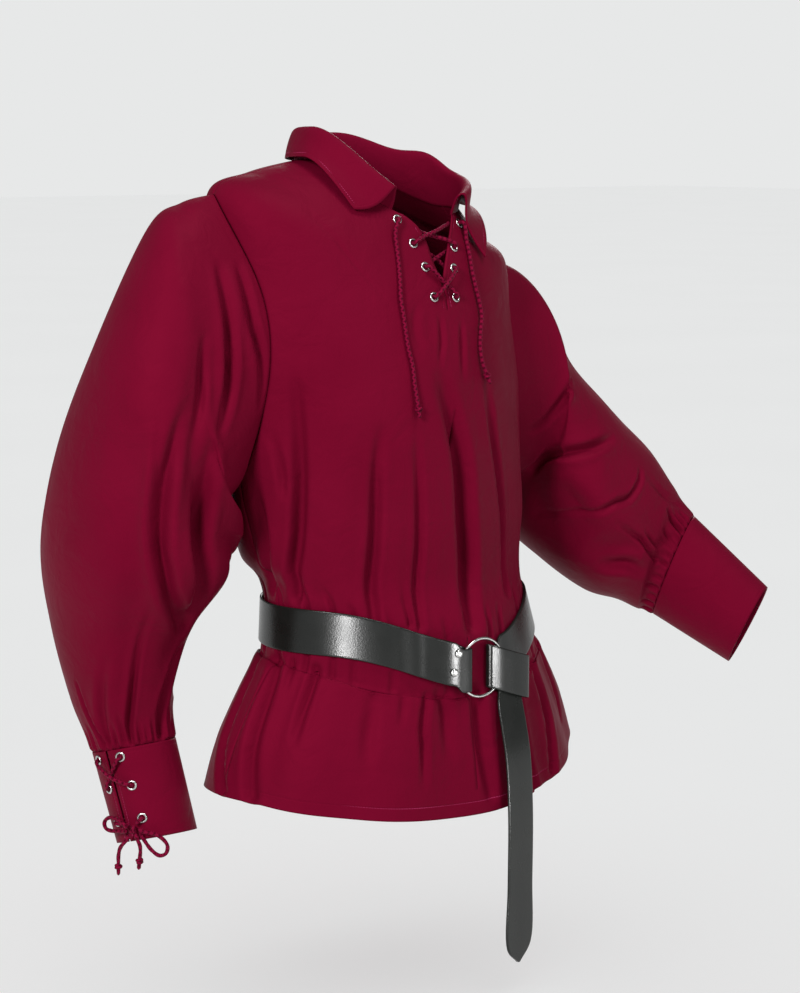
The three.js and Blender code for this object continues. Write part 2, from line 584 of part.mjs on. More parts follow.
// Point of the cuff at so many degrees from its slit.
function lacedPoint(side, turn, f, out) {
  return cuffPoint(side, CUFF_SLIT[side] + CUFF_SIGN[side] * turn, f * LACED_REACH[side], out);
}

function cuff(side) {
  const rows = steps(0.005, 1, 3);
  const open = CUFF_SLIT[side];
  const turns = steps(open + CUFF_OPENING / 2, open + 360 - CUFF_OPENING / 2, 24);
  const grid = (out) => rows.map((f) => turns.map((phi) => cuffPoint(side, phi, f, out)));
  return wall(grid(0), grid(-BAND));
}

function collar() {
  const rows = steps(0, collarRings.length - 1, 12);
  const grid = (out) => rows.map((t) => {
    const from = column(collarRings, 'endLeft', t);
    const to = 360 - column(collarRings, 'endRight', t);
    return steps(from, to, 26).map((a) => collarSurface(a, t)
      .addScaledVector(normalOf(collarSurface, a, t), out)
      .add(new THREE.Vector3(0, 0, SEAM)));
  });
  return wall(grid(0), grid(-BAND));
}

// ---------------------------------------------------------------- cuts and eyelets

const wasm = await Module();
wasm.setup();

function toManifold(geometry) {
  const bare = geometry.clone();
  bare.deleteAttribute('normal');
  bare.deleteAttribute('uv');
  const merged = mergeVertices(bare, 1e-4);
  return new wasm.Manifold(new wasm.Mesh({
    numProp: 3,
    vertProperties: new Float32Array(merged.getAttribute('position').array),
    triVerts: new Uint32Array(merged.getIndex().array),
  }));
}

function fromManifold(solid) {
  const mesh = solid.getMesh();
  const geometry = new THREE.BufferGeometry();
  geometry.setAttribute('position', new THREE.BufferAttribute(mesh.vertProperties, 3));
  geometry.setIndex(new THREE.BufferAttribute(mesh.triVerts, 1));
  return geometry;
}

function cut(geometry, tools) {
  let solid = toManifold(geometry);
  for (const tool of tools) solid = solid.subtract(toManifold(tool));
  return fromManifold(solid);
}

// Turns a geometry's +Y axis to the normal and moves it to the point.
function stand(geometry, place) {
  const turn = new THREE.Quaternion().setFromUnitVectors(new THREE.Vector3(0, 1, 0), place.normal);
  return geometry.applyQuaternion(turn).translate(place.point.x, place.point.y, place.point.z);
}

// Where each eyelet sits: a point on its cloth, and the cloth's outward direction there.
function place(at) {
  const point = at(0);
  return { point, normal: at(1).sub(point).normalize() };
}

const neckPlaces = neckEyelets.flatMap((pair, i) => [
  { name: `eyelet_neck_right_${i + 1}`, ...place((out) => bodyPoint(pair.rightAngle, pair.rightT, out)) },
  { name: `eyelet_neck_left_${i + 1}`, ...place((out) => bodyPoint(pair.leftAngle, pair.leftT, out)) },
]);

const cuffPlaces = (side) => cuffEyelets.flatMap((pair, i) => ['a', 'b'].map((column) => ({
  name: `eyelet_cuff_${side}_${column}${i + 1}`,
  ...place((out) => lacedPoint(side, pair[column], pair.f, out)),
})));

const holeTool = (spot) => stand(new THREE.CylinderGeometry(CLOTH_HOLE, CLOTH_HOLE, 10, 12), spot);

// An eyelet has a barrel through the cloth and a flange with a sloped rim on the outside.
function eyelet(spot) {
  const { hole, barrel, flange, height } = EYELET;
  const profile = [
    [hole, -BAND - 0.6],
    [barrel, -BAND - 0.6],
    [barrel, SEAM],
    [flange, SEAM],
    [flange - 0.7, height],
    [hole, height],
    [hole, -BAND - 0.6],
  ].map(([x, y]) => new THREE.Vector2(x, y));
  return stand(new THREE.LatheGeometry(profile, 10), spot);
}

// The open slit of the neck, as a prism along Y through the front panel.
function slitTool() {
  const shape = new THREE.Shape([
    ...slitOutline.map((row) => new THREE.Vector2(SLIT_X + row.left, row.z)),
    ...slitOutline.map((row) => new THREE.Vector2(SLIT_X - row.right, row.z)).reverse(),
  ]);
  const deep = 130;
  return new THREE.ExtrudeGeometry(shape, { depth: deep, bevelEnabled: false })
    .rotateX(Math.PI / 2)
    .translate(0, -30, 0);
}

// ---------------------------------------------------------------- belt

// Point of the body under the belt at a height z.
function bodyAtHeight(angle, z) {
  let low = 0;
  let high = UNDERARM;
  while (high - low > 1e-4) {
    const middle = (low + high) / 2;
    if (bodySurface(angle, middle).z < z) low = middle;
    else high = middle;
  }
  return bodySurface(angle, low);
}

const beltTop = (angle) => {
  const ahead = Math.max(Math.cos(deg(angle - BELT_LOW_ANGLE)), 0);
  return BELT_SIDE_Z - BELT_DIP * ahead ** 4.4;
};

// Point over the belt's line at an angle and a height, moved out from the shirt.
function beltPoint(angle, z, out) {
  const ahead = bodySurface(angle + 0.5, BELT_FOOT).sub(bodySurface(angle - 0.5, BELT_FOOT));
  const outward = new THREE.Vector3(ahead.y, -ahead.x, 0).normalize();
  return bodyAtHeight(angle, z).addScaledVector(outward, out);
}

// A strap through sections of rows { angle, out, top }. out gives the middle of its thickness.
// A section with its own top stands upright under it, and the others follow the belt's line.
function strap(rows) {
  const edge = (drop) => rows.map((r) => {
    if (r.top === undefined) return beltPoint(r.angle, beltTop(r.angle) - drop, r.out);
    return beltPoint(r.angle, r.top, r.out).add(new THREE.Vector3(0, 0, -drop));
  });
  const side = (drop, shift) => edge(drop).map((p, i, line) => {
    const along = line[Math.min(i + 1, line.length - 1)].clone().sub(line[Math.max(i - 1, 0)]);
    const across = new THREE.Vector3(along.y, -along.x, 0).normalize();
    return p.clone().addScaledVector(across, shift);
  });
  const half = STRAP / 2;
  return wall([side(STRAP_WIDTH, half), side(0, half)], [side(STRAP_WIDTH, -half), side(0, -half)]);
}

const FLAT_OUT = STRAP_REST + STRAP / 2; // middle of a strap that lies on the shirt
const LAID_OUT = FLAT_OUT + STRAP + 0.3; // middle of a strap that lies on another one
const TURN_RADIUS = RING_WIRE + 0.35 + STRAP / 2; // middle of a strap that bends round the wire
const TURN_OFFSET = 19.6 / MM_PER_DEGREE; // degrees from the ring's centre to the riveted bend
const WRAP_OFFSET = 15.4 / MM_PER_DEGREE; // degrees from the ring's centre to the wrap's bend

// Half a turn round a centre: from behind it to in front of it, bulging to the given side.
const halfTurn = (angle, out, radius, bulge) => steps(-90, 90, 6).map((a) => ({
  angle: angle + (bulge * radius * Math.cos(deg(a))) / MM_PER_DEGREE,
  out: out + radius * Math.sin(deg(a)),
}));

// The flat ring stands off the round shirt by this much more, x degrees from its centre.
const ringLift = (x) => (x * MM_PER_DEGREE) ** 2 / 440;

const lifted = (row) => ({ ...row, out: row.out + ringLift(row.angle - RING_ANGLE) });

// The strap's end is folded back behind it round the ring.
const FOLD_TOP = -512; // height of the strap's upper edge at the ring
const FOLD_OUT = 12.4; // from the shirt to the middle of the folded end, where the rivets are
const ringEnd = [
  { angle: -21, out: FLAT_OUT },
  { angle: -14, out: FLAT_OUT },
  { angle: -9, out: FLAT_OUT },
  ...halfTurn(RING_ANGLE - TURN_OFFSET, RING_OUT, TURN_RADIUS, 1)
    .map((row) => ({ ...lifted(row), top: FOLD_TOP })),
  { angle: -6.5, out: 11.6, top: FOLD_TOP + 1 },
  { angle: -9, out: FOLD_OUT },
  { angle: -12, out: 12 },
  { angle: -16, out: 9.6 },
  { angle: -20, out: LAID_OUT + 0.6 },
  { angle: -24, out: LAID_OUT },
];
const aroundWaist = steps(-30, -343, 77).map((angle) => ({ angle, out: FLAT_OUT }));

// The strap's other end goes through the ring and back over itself, sloping down.
const WRAP_TOP = -513; // height of the wrap's upper edge at the ring
const WRAP_SLOPE = 1.05; // mm that the wrap goes down per degree
const wrapRows = [
  { angle: 12.8, out: FLAT_OUT + 2 },
  ...halfTurn(RING_ANGLE + WRAP_OFFSET, RING_OUT, TURN_RADIUS, -1).map(lifted),
  { angle: 12.5, out: 12.4 },
  { angle: 16, out: 14 },
  { angle: 20, out: 15.8 },
  { angle: 24, out: 17 },
  ...halfTurn(27, 13, 4.4, 1).reverse().slice(0, 6),
].map((row) => ({ ...row, top: WRAP_TOP - WRAP_SLOPE * (row.angle - RING_ANGLE - WRAP_OFFSET) }));

// The hanging end of the strap, with its pointed tip.
const tailRows = [
  { z: -560, x: 67, y: -155, half: 17 },
  { z: -566, x: 67, y: -156, half: 18 },
  { z: -580, x: 66, y: -160, half: 22 },
  { z: -605, x: 65, y: -168, half: 23 },
  { z: -640, x: 64, y: -177, half: 23 },
  { z: -700, x: 62, y: -184, half: 23 },
  { z: -780, x: 61, y: -185, half: 23 },
  { z: -850, x: 60, y: -185, half: 22 },
  { z: -869, x: 59, y: -185, half: 1.5 },
];
const TAIL_TURN = 15; // degrees that the tail's face is turned to the wearer's left

function tail() {
  const across = new THREE.Vector3(Math.cos(deg(TAIL_TURN)), Math.sin(deg(TAIL_TURN)), 0);
  const ahead = new THREE.Vector3(across.y, -across.x, 0);
  const grid = (shift) => tailRows.map((r) => [-1, 1].map((side) => new THREE.Vector3(r.x, r.y, r.z)
    .addScaledVector(across, side * r.half)
    .addScaledVector(ahead, shift)));
  return wall(grid(STRAP / 2), grid(-STRAP / 2));
}

function beltRing() {
  const spot = place((out) => beltPoint(RING_ANGLE, RING_Z, RING_OUT + out));
  return stand(new THREE.TorusGeometry(RING_RADIUS, RING_WIRE, 8, 32).rotateX(Math.PI / 2), spot);
}

// A rivet's domed head on the strap, near its fold.
function rivet(angle, z) {
  const face = FOLD_OUT + STRAP / 2;
  const spot = place((out) => beltPoint(angle, z, face + SEAM + out));
  const dome = [[0, 0], [4.5, 0], [4.2, 1.1], [2.6, 2], [0, 2.3]];
  return stand(new THREE.LatheGeometry(dome.map(([x, y]) => new THREE.Vector2(x, y)), 12), spot);
}

// ---------------------------------------------------------------- laces

// A smooth route through hand-chosen points, with as many steps between any two of them.
class Route extends THREE.CatmullRomCurve3 {
  getPointAt(u) {
    return this.getPoint(u);
  }

  getTangentAt(u) {
    return this.getTangent(u);
  }
}

function cord(points) {
  const ring = new THREE.Shape();
  ring.absarc(0, 0, LACE, 0, 2 * Math.PI);
  return new THREE.ExtrudeGeometry(ring, {
    extrudePath: new Route(points),
    steps: 2 * (points.length - 1),
    curveSegments: 4,
  });
}

// The knot at a cord's end, with the short tail beyond it. before and end are the last two
// points of the cord.
function endKnot(before, end) {
  const profile = [[0, 0.3], [2, 0.3], [3.9, 2.6], [3.9, 5], [2.2, 7.4], [2.4, 14], [0, 14]];
  const shape = new THREE.LatheGeometry(profile.map(([x, y]) => new THREE.Vector2(x, y)), 10);
  return stand(shape, { point: end, normal: end.clone().sub(before).normalize() });
}

// Middle of a cuff's bow, and the point that lies across, down and out from it.
const bowMiddle = (side) => lacedPoint(side, BOW_TURN, BOW_F[side], 6);

function bowPoint(side, { across, down, out }) {
  const facing = deg(BOW_FACING[side]);
  const level = CUFF_SIGN[side] * across;
  return bowMiddle(side).add(new THREE.Vector3(
    out * Math.cos(facing) - level * Math.sin(facing),
    out * Math.sin(facing) + level * Math.cos(facing),
    -down,
  ));
}

function bowKnot(side) {
  const middle = bowMiddle(side);
  return new THREE.SphereGeometry(1, 12, 8)
    .scale(5.1, 4, 4)
    .rotateZ(deg(BOW_FACING[side] + 90))
    .translate(middle.x, middle.y, middle.z);
}

// ---------------------------------------------------------------- the garment

const crimson = { color: 0x7d102c, roughness: 0.55, metalness: 0 };
const blackLeather = { color: 0x2f302f, roughness: 0.45, metalness: 0 };
const nickel = { color: 0xc9c9c9, roughness: 0.25, metalness: 1 };

const group = new THREE.Group();

function add(name, geometry, finish) {
  const mesh = new THREE.Mesh(geometry, new THREE.MeshStandardMaterial(finish));
  mesh.name = name;
  group.add(mesh);
  return mesh;
}

add('front', cut(bodyPanel('front', FRONT_COLUMNS), [slitTool(), ...neckPlaces.map(holeTool)]), crimson);
add('back', bodyPanel('back', BACK_COLUMNS), crimson);
add('collar', collar(), crimson);
for (const side of ['right', 'left']) {
  add(`sleeve_${side}`, sleeve(side), crimson);
  add(`cuff_${side}`, cut(cuff(side), cuffPlaces(side).map(holeTool)), crimson);
}
for (const spot of [...neckPlaces, ...cuffPlaces('right'), ...cuffPlaces('left')]) {
  add(spot.name, eyelet(spot), nickel);
}

add('belt_strap', strap([...ringEnd, ...aroundWaist, ...wrapRows]), blackLeather);
add('belt_tail', tail(), blackLeather);
add('belt_ring', beltRing(), nickel);
add('rivet_upper', rivet(-8.6, -515), nickel);
add('rivet_lower', rivet(-10.4, -535), nickel);

const vectors = (list) => list.map((p) => new THREE.Vector3(...p));

add('lace_neck', cord(vectors(neckLace)), crimson);
for (const side of ['right', 'left']) {
  const end = vectors(neckEnds[side]);
  add(`lace_neck_end_${side}`, cord(end), crimson);
  add(`knot_neck_end_${side}`, endKnot(...end.slice(-2)), crimson);

  const laced = cuffLace.map((row) => lacedPoint(side, row.turn, row.f, row.out));
  add(`lace_cuff_${side}`, cord(laced), crimson);
  add(`knot_cuff_${side}`, bowKnot(side), crimson);
  for (const [name, rows] of Object.entries({ ...bowRoutes, loop_b: smallLoop[side] })) {
    const route = rows.map((row) => bowPoint(side, row));
    add(`lace_cuff_${side}_${name}`, cord(route), crimson);
    if (name.startsWith('end')) add(`knot_cuff_${side}_${name}`, endKnot(...route.slice(-2)), crimson);
  }
}

export default group;
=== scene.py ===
"""A laced crimson shirt-blouse with bishop sleeves, worn with a leather ring belt.

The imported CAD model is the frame: +Z is up, the wearer faces -Y, and the wearer's right hand
is on -X. The tables below are in millimetres, and every mesh is made in metres. Angles round
the body and the collar are 0 at the centre front, 90 at the wearer's left side, 180 at the
centre back and -90 at the wearer's right side.
"""

import math
from functools import partial

import bmesh
import bpy
import numpy as np
from mathutils import Matrix, Vector


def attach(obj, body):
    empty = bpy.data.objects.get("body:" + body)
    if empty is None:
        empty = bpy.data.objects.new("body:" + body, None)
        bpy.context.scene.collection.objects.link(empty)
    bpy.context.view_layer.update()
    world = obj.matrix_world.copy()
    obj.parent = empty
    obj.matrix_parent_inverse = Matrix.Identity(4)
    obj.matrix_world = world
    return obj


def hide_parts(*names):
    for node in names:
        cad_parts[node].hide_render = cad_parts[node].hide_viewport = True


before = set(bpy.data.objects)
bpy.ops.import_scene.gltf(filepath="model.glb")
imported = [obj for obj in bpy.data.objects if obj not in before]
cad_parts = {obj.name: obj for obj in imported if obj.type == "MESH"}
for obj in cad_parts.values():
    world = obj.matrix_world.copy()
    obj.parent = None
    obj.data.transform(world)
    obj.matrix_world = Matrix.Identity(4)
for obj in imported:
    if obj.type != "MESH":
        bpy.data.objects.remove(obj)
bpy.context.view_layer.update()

MM = 0.001

# ---------------------------------------------------------------- camera

camera_data = bpy.data.cameras.new("camera")
camera_data.sensor_width = 36
camera_data.lens = 91.54
camera = bpy.data.objects.new("camera", camera_data)
camera.location = (-1.7239, -2.2064, 0.040)
camera_aim = Vector((0.0243, -0.0190, -0.3645))
camera.rotation_euler = (camera_aim - camera.location).to_track_quat("-Z", "Y").to_euler()
bpy.context.scene.collection.objects.link(camera)
bpy.context.scene.camera = camera

# ---------------------------------------------------------------- driving sizes

CLOTH = 1.8  # thickness of the body and sleeve wall
BAND = 2.0  # thickness of the collar and cuff wall, which are two layers
SEAM = 0.4  # lift of the collar and the rivets off what they sit on
SEWN_GAP = 0.1  # gap between two pieces that are sewn together

BELT_FOOT = 3  # number of the body ring at the foot of the drawn-in waist
UNDERARM = 7  # number of the body ring at the foot of the armhole
SHOULDER = 10  # number of the body ring through the shoulder points
ARMHOLE_DIP = {"front": 25, "back": 34}  # degrees that the armhole cuts into each panel

SLIT_X = 9  # the neck slit's middle, a little to the wearer's left

STRAP = 3.2  # thickness of the belt leather
STRAP_WIDTH = 48
STRAP_REST = 0.9  # gap between the shirt and a strap that lies on it
BELT_SIDE_Z = -465  # height of the strap's upper edge at the sides and the back
BELT_DIP = 45  # how much lower the strap hangs at the front
BELT_DIP_POWER = 4.4  # how much of the dip is close to its lowest place
BELT_LOW_ANGLE = 6  # angle round the body of the strap's lowest place
RING_ANGLE = 3.9  # angle round the body of the belt ring's centre
RING_RADIUS = 32  # from the ring's centre to the middle of its wire
RING_WIRE = 1.6  # radius of the wire
RING_OUT = 6  # from the shirt to the middle of the wire
RING_Z = -536  # height of the belt ring's centre
MM_PER_DEGREE = 2.85  # along the belt, near the centre front

SIGN = {"right": -1, "left": 1}  # of X on each side of the wearer

CUFF_SEAM = 8  # number of the sleeve loop at the cuff seam
CUFF_SLIT = {"right": 16, "left": 290}  # angle round the cuff of its laced slit
CUFF_OPENING = {"right": 4, "left": 1.2}  # degrees that the slit stands open

LACE = 2.2  # radius of the round cord at the neck and the cuffs
CORD_STEP = 1.2  # between the sections of a cord
CUFF_PLIES = 2  # strands that show in a cuff's cord
LACED_REACH = {"right": 1, "left": 0.62}  # share of the cuff that its lace closes
BOW_TURN = 15.4  # degrees from a cuff's slit to its bow's knot
BOW_F = {"right": 0.87, "left": 0.88}  # place of the bow's knot down the laced part of the cuff
BOW_FACING = {"right": -128, "left": 33}  # compass angle that the bow faces, from +X

# Body rings, from the hem up to the neck seam: the centre (cx, cy), the half sizes to the
# right, left, front and back, and the heights at the right, left, front and back.
BODY_RINGS = np.array([
    (12, -20, 234, 237, 158, 160, -668, -645, -694, -692),  # hem
    (13, -24, 219, 216, 145, 146, -612, -594, -634, -618),  # skirt
    (13, -30, 176, 179, 127, 124, -538, -540, -574, -538),  # under the belt
    (13, -31, 169, 172, 124, 120, -522, -524, -560, -522),  # belt foot
    (12, -30, 166, 149, 124, 118, -452, -454, -496, -454),  # belt top
    (4, -16, 176, 169, 128, 130, -418, -420, -444, -420),  # blouse
    (2, -14, 184, 179, 130, 130, -376, -382, -376, -370),  # ribs
    (0, -12, 190, 180, 130, 128, -326, -344, -304, -310),  # underarm
    (-2, -6, 194, 181, 128, 120, -226, -252, -218, -220),  # chest
    (0, 2, 198, 175, 122, 110, -118, -170, -146, -128),  # upper chest
    (0, 12, 203, 177, 116, 88, -25, -103, -98, -48),  # shoulder
    (0, 6, 154, 134, 100, 82, -2, -74, -72, -18),  # mid shoulder
    (2, -2, 94, 98, 84, 80, 11, -41, -52, 0),  # neck seam
], float)

# Collar rings, from the neck seam up the stand, over the fold and down the leaf: a body row,
# then the front half size and height on the wearer's left, the angles from the centre front
# at which the collar ends on the right and the left, and its lift behind the left side.
COLLAR_RINGS = np.array([
    (2, -2, 94, 98, 84, 80, 11, -41, -52, 0, 84, -52, 23, 31, 0),  # neck seam
    (3, -6, 92, 97, 85, 80, 26, -24, -43, 19, 85, -43, 24, 31, 7),  # stand
    (5, -10, 93, 96, 86, 84, 42, -11, -37, 36, 86, -37, 26, 31, 16),  # fold inside
    (5, -10, 98, 101, 92, 91, 41, -12, -40, 34, 92, -40, 29, 33, 16),  # fold outside
    (4, -12, 104, 98, 92, 96, 27, -31, -77, 20, 93, -80, 38, 38, 12),  # leaf
    (2, -20, 111, 114, 89, 100, 13, -44, -125, 6, 106, -146, 51, 44, 6),  # leaf edge
], float)
COLLAR_LIFT = {"angle": 112, "width": 20}  # where the collar is raised, in degrees

# Sleeve loops from the armhole down to the cuff's end: the outer point, the inner point, and
# the half depths to the front and the back. Each goes round from its outer point through its
# front, inner and back sides.
SLEEVE_LOOPS = {
    "right": np.array([
        (-235, 26, -34, -207, -3, -334, 74, 62),  # head
        (-272, 32, -60, -207, 6, -340, 88, 94),  # cap
        (-328, 44, -180, -190, 16, -346, 104, 110),  # upper arm
        (-362, 56, -296, -180, 44, -380, 116, 116),  # above elbow
        (-374, 62, -400, -174, 62, -416, 120, 118),  # elbow
        (-362, 70, -485, -211, 70, -480, 90, 90),  # forearm
        (-347, 64, -562, -238, 64, -556, 64, 64),  # gather
        (-332, 52, -616, -242, 52, -614, 47, 47),  # cuff seam
        (-321, 24, -712, -233, 24, -712, 43, 43),  # cuff end
    ], float),
    "left": np.array([
        (206, 12, -117, 199, -6, -354, 66, 70),  # head
        (229, 8, -152, 206, 4, -366, 80, 84),  # cap
        (272, -4, -214, 222, 32, -418, 88, 100),  # upper arm
        (317, -31, -270, 272, 24, -464, 96, 104),  # above elbow
        (346, -44, -305, 322, 2, -503, 94, 100),  # elbow
        (375, -58, -338, 352, -27, -516, 82, 86),  # forearm
        (394, -77, -378, 368, -46, -527, 62, 64),  # gather
        (410, -98, -414, 381, -62, -534, 38, 38),  # cuff seam
        (458, -174, -495, 431, -140, -586, 35, 35),  # cuff end
    ], float),
}

# Outline of the open neck slit from its foot up: height, and distances from SLIT_X to the
# right and the left edge.
SLIT_OUTLINE = np.array([
    (-150, 0, 0),
    (-146, 0.6, 0.6),
    (-121, 0.7, 0.7),
    (-98, 7, 11),
    (-76, 10, 24),
    (-60, 17, 36),
    (-46, 34, 47),
    (-30, 58, 58),
], float)

# Eyelets of the neck slit in pairs, from the collar down: body angle and ring number of the
# right one, then of the left one.
NECK_EYELETS = [
    ((-17, 11.6), (32, 11.5)),
    ((-6.5, 10.68), (13.7, 10.48)),
    ((-3, 9.86), (9.6, 9.8)),
    ((-2.2, 9.19), (7.6, 9.17)),
]

# Eyelets of a cuff slit in pairs: degrees from the slit to each one, and place down the cuff.
CUFF_EYELETS = [(-20, 20, 0.09), (-13, 26, 0.41), (-14, 29, 0.77)]

# Large soft folds of the body from their upper to their lower end: the two angles, the two
# ring numbers, half width in degrees, and depth.
BODY_FOLDS = [
    (3, 5, 7.9, 4.1, 7, 6),  # under the slit
    (-15, -18, 7.2, 4.1, 6, 4),  # right of it
    (-28, -37, 7.5, 4.1, 7, 5),  # right breast
    (-56, -67, 8.1, 4.1, 8, 7),  # right armhole
    (-75, -93, 7.3, 4.1, 8, 6),  # right side
    (25, 38, 7.5, 4.1, 8, 6),  # left breast
    (54, 64, 8, 4.1, 8, 6),  # left armhole
    (80, 92, 6.9, 4.1, 8, 5),  # left side
    (122, 118, 7.9, 4.1, 9, 7),  # left back
    (152, 146, 8.6, 4.1, 9, 6),  # left blade
    (184, 178, 8, 4.1, 9, 5),  # back
    (211, 214, 8.8, 4.1, 9, 7),  # right blade
    (243, 240, 7.6, 4.1, 9, 6),  # right back
    (-70, -74, 2.7, -0.6, 9, 6),  # skirt, right side
    (-40, -42, 2.7, -0.6, 9, 5),  # skirt, right front
    (-12, -10, 2.7, -0.4, 9, 4),  # skirt, front
    (24, 28, 2.7, -0.8, 8, 7),  # skirt, left front
    (52, 58, 2.7, -0.8, 9, 7),  # skirt, left
    (120, 117, 2.7, -0.6, 10, 7),  # skirt, left back
    (165, 168, 2.7, -0.6, 10, 6),  # skirt, back
    (225, 230, 2.7, -0.6, 10, 7),  # skirt, right back
]

# Large soft folds of the sleeves in the same way, with angles round the sleeve.
SLEEVE_FOLDS = {
    "right": [
        (134, 148, 0.05, 4.7, 21, -24),  # inner lobe, which stands out
        (158, 140, 0.05, 2.2, 22, -18),  # underarm lobe
        (138, 142, 3.8, 7.2, 14, 11),  # inner forearm
        (96, 102, 0.9, 6.6, 11, 11),  # front
        (50, 62, 3.2, 7.9, 12, 6),  # outer front
        (322, 318, 3, 7.9, 13, 8),  # outer back
        (268, 272, 1.6, 7.8, 14, 10),  # back
        (222, 228, 1.4, 7.2, 14, 9),  # inner back
    ],
    "left": [
        (150, 118, 1.1, 4.4, 18, 13),  # crook
        (128, 92, 2.8, 6.6, 14, 9),  # forearm
        (60, 66, 4.2, 7.9, 14, 5),  # cuff
        (312, 306, 2.4, 7.8, 14, 8),  # outer back
        (236, 246, 1.4, 7.6, 16, 10),  # inner back
    ],
}

# The laced part of the neck lace, from behind the wearer's right upper eyelet to behind the
# left one.
NECK_LACE = [
    (-20, -78, -57), (-12, -81.5, -61), (-4, -86.5, -66), (9.5, -90, -70.5), (33, -97.3, -77.5),
    (37.6, -99.9, -81), (37.3, -95, -84), (35.5, -90.5, -86.5), (12, -96.5, -95),
    (-9.5, -100, -104.5), (-10.6, -105.3, -103.3), (-10, -110.3, -102), (9.3, -115.9, -121),
    (22.6, -120.9, -134.4), (23.3, -116, -136.6), (21.6, -110.5, -138.2), (8, -109, -139),
    (-5.8, -111, -137), (-7.5, -116.4, -135.1), (-6.4, -121.3, -133), (9.6, -121.2, -119),
    (29.4, -110, -105.2), (29.8, -104.7, -106.1), (28.2, -99.7, -107.4), (11, -91.4, -92.6),
    (-18.4, -90.6, -80.8), (-19.6, -95.7, -78.4), (-18.4, -100.3, -76.2), (-4.5, -97.6, -70.6),
    (10, -96.2, -66.4), (35, -83.5, -61), (44.5, -76.8, -60), (50, -71.5, -58.5),
]

# Free ends of the neck lace. Each comes from behind through its upper eyelet and hangs.
NECK_ENDS = {
    "right": [
        (-31.4, -77.6, -56), (-32, -83.8, -53.1), (-32.8, -89, -51.3), (-36, -92.3, -54.2),
        (-40.5, -93.6, -60.5), (-43, -95.6, -69.5), (-44, -98.6, -79.5), (-46, -104.5, -96.5),
        (-50, -112.3, -119), (-53, -117.4, -136), (-52.4, -120.7, -151.5), (-51.8, -125.5, -176),
        (-50.8, -128.4, -190), (-48.8, -130.4, -201), (-48, -132.4, -212), (-48.2, -134.4, -224),
        (-47.5, -136.6, -236), (-47, -138.6, -247),
    ],
    "left": [
        (58.2, -69.5, -62.4), (61, -75.3, -59.2), (63, -79.7, -57.2), (63.4, -83.4, -60.2),
        (62.6, -86.2, -67), (61, -89, -75.5), (57.5, -99.2, -94), (55.5, -106.2, -111),
        (56, -111.6, -128), (58, -116, -145), (58, -119.2, -158), (53.5, -123, -172),
        (49.5, -126.8, -186), (48.6, -129.2, -198), (50, -131, -209), (53, -132.6, -218),
    ],
}

# The laced part of a cuff lace, from the bow's knot and back to it: degrees from the slit,
# place down the cuff, and mm out from the cloth.
CUFF_LACE = np.array([
    (19.5, 0.828, 4.3), (23, 0.8, 4.8), (26.8, 0.783, 4.7), (29, 0.77, -0.5), (27.5, 0.757, -5.8),
    (8, 0.59, -5), (-11.5, 0.425, -5.8), (-13, 0.41, -0.5), (-11.5, 0.398, 4.5), (0, 0.27, 3),
    (18, 0.108, 4.5), (20, 0.09, -0.5), (18, 0.09, -5.8), (0, 0.085, -5), (-18, 0.09, -5.8),
    (-20, 0.09, -0.5), (-18, 0.108, 4.6), (3, 0.27, 8.2), (24, 0.398, 4.7), (26, 0.41, -0.5),
    (24.5, 0.425, -5.8), (7, 0.59, -10.3), (-12.5, 0.755, -5.8), (-14, 0.77, -0.5),
    (-12.5, 0.78, 4.6), (-5, 0.793, 3.4), (3, 0.808, 3), (9.4, 0.826, 2.9),
], float)

# Bow of a cuff lace: mm across, down and out from the middle of its knot. Across is level, to
# the right of somebody who faces the bow of the right cuff, and the left one mirrors it.
LARGE_LOOP = [
    (5.4, -1.6, 2.8), (12.4, 1.6, 3.8), (21.4, 3.4, 4), (31, 8.6, 3.8), (36.6, 17, 3.4),
    (34.6, 25.4, 3.2), (28, 27.6, 3), (19.8, 21.8, 2.8), (11.5, 10.5, 1.6), (6.9, 2.4, -0.6),
]
SMALL_LOOP = {
    "right": [
        (-5.9, -1.9, 2), (-11, -6.2, -1.6), (-18.2, -8.6, -9), (-25, -9, -15.5),
        (-30, -6.5, -18.5), (-32.4, -1.5, -19.5), (-30.6, 3.6, -18), (-25, 5.2, -14.6),
        (-17, 4.6, -10.8), (-10.5, 4.2, -6.5), (-6.6, 2.9, -2.6),
    ],
    "left": [
        (-5.9, -1.9, 2), (-11, -5.4, 3.6), (-18.2, -7.6, 4), (-25, -7.2, 4),
        (-30, -4, 3.8), (-31.6, 1.8, 3.6), (-29, 6.8, 3.6), (-23, 8.8, 3.8),
        (-16.5, 7.6, 3.8), (-10.8, 4.8, 3.9), (-6.4, 2.6, 3.6),
    ],
}
BOW_ENDS = {
    "end_a": [
        (2.6, 3.3, 2.4), (4.4, 8.4, 4.6), (7.4, 15.6, 5), (7.9, 22, 4.5), (7.2, 29, 4.2),
    ],
    "end_b": [
        (-2.4, 4.1, 1.6), (-5.4, 8.4, 3), (-9.6, 13.6, 3.4), (-14, 20, 1), (-15.8, 28, 0.6),
        (-16, 36, 0.6),
    ],
}
TAIL_LENGTH = 14  # of a cord's end from the foot of its knot to its tip

# ---------------------------------------------------------------- surfaces


def catmull(a, b, c, d, f):
    slope0, slope1 = (c - a) / 2, (d - b) / 2
    return (
        (2 * f**3 - 3 * f**2 + 1) * b
        + (f**3 - 2 * f**2 + f) * slope0
        + (3 * f**2 - 2 * f**3) * c
        + (f**3 - f**2) * slope1
    )


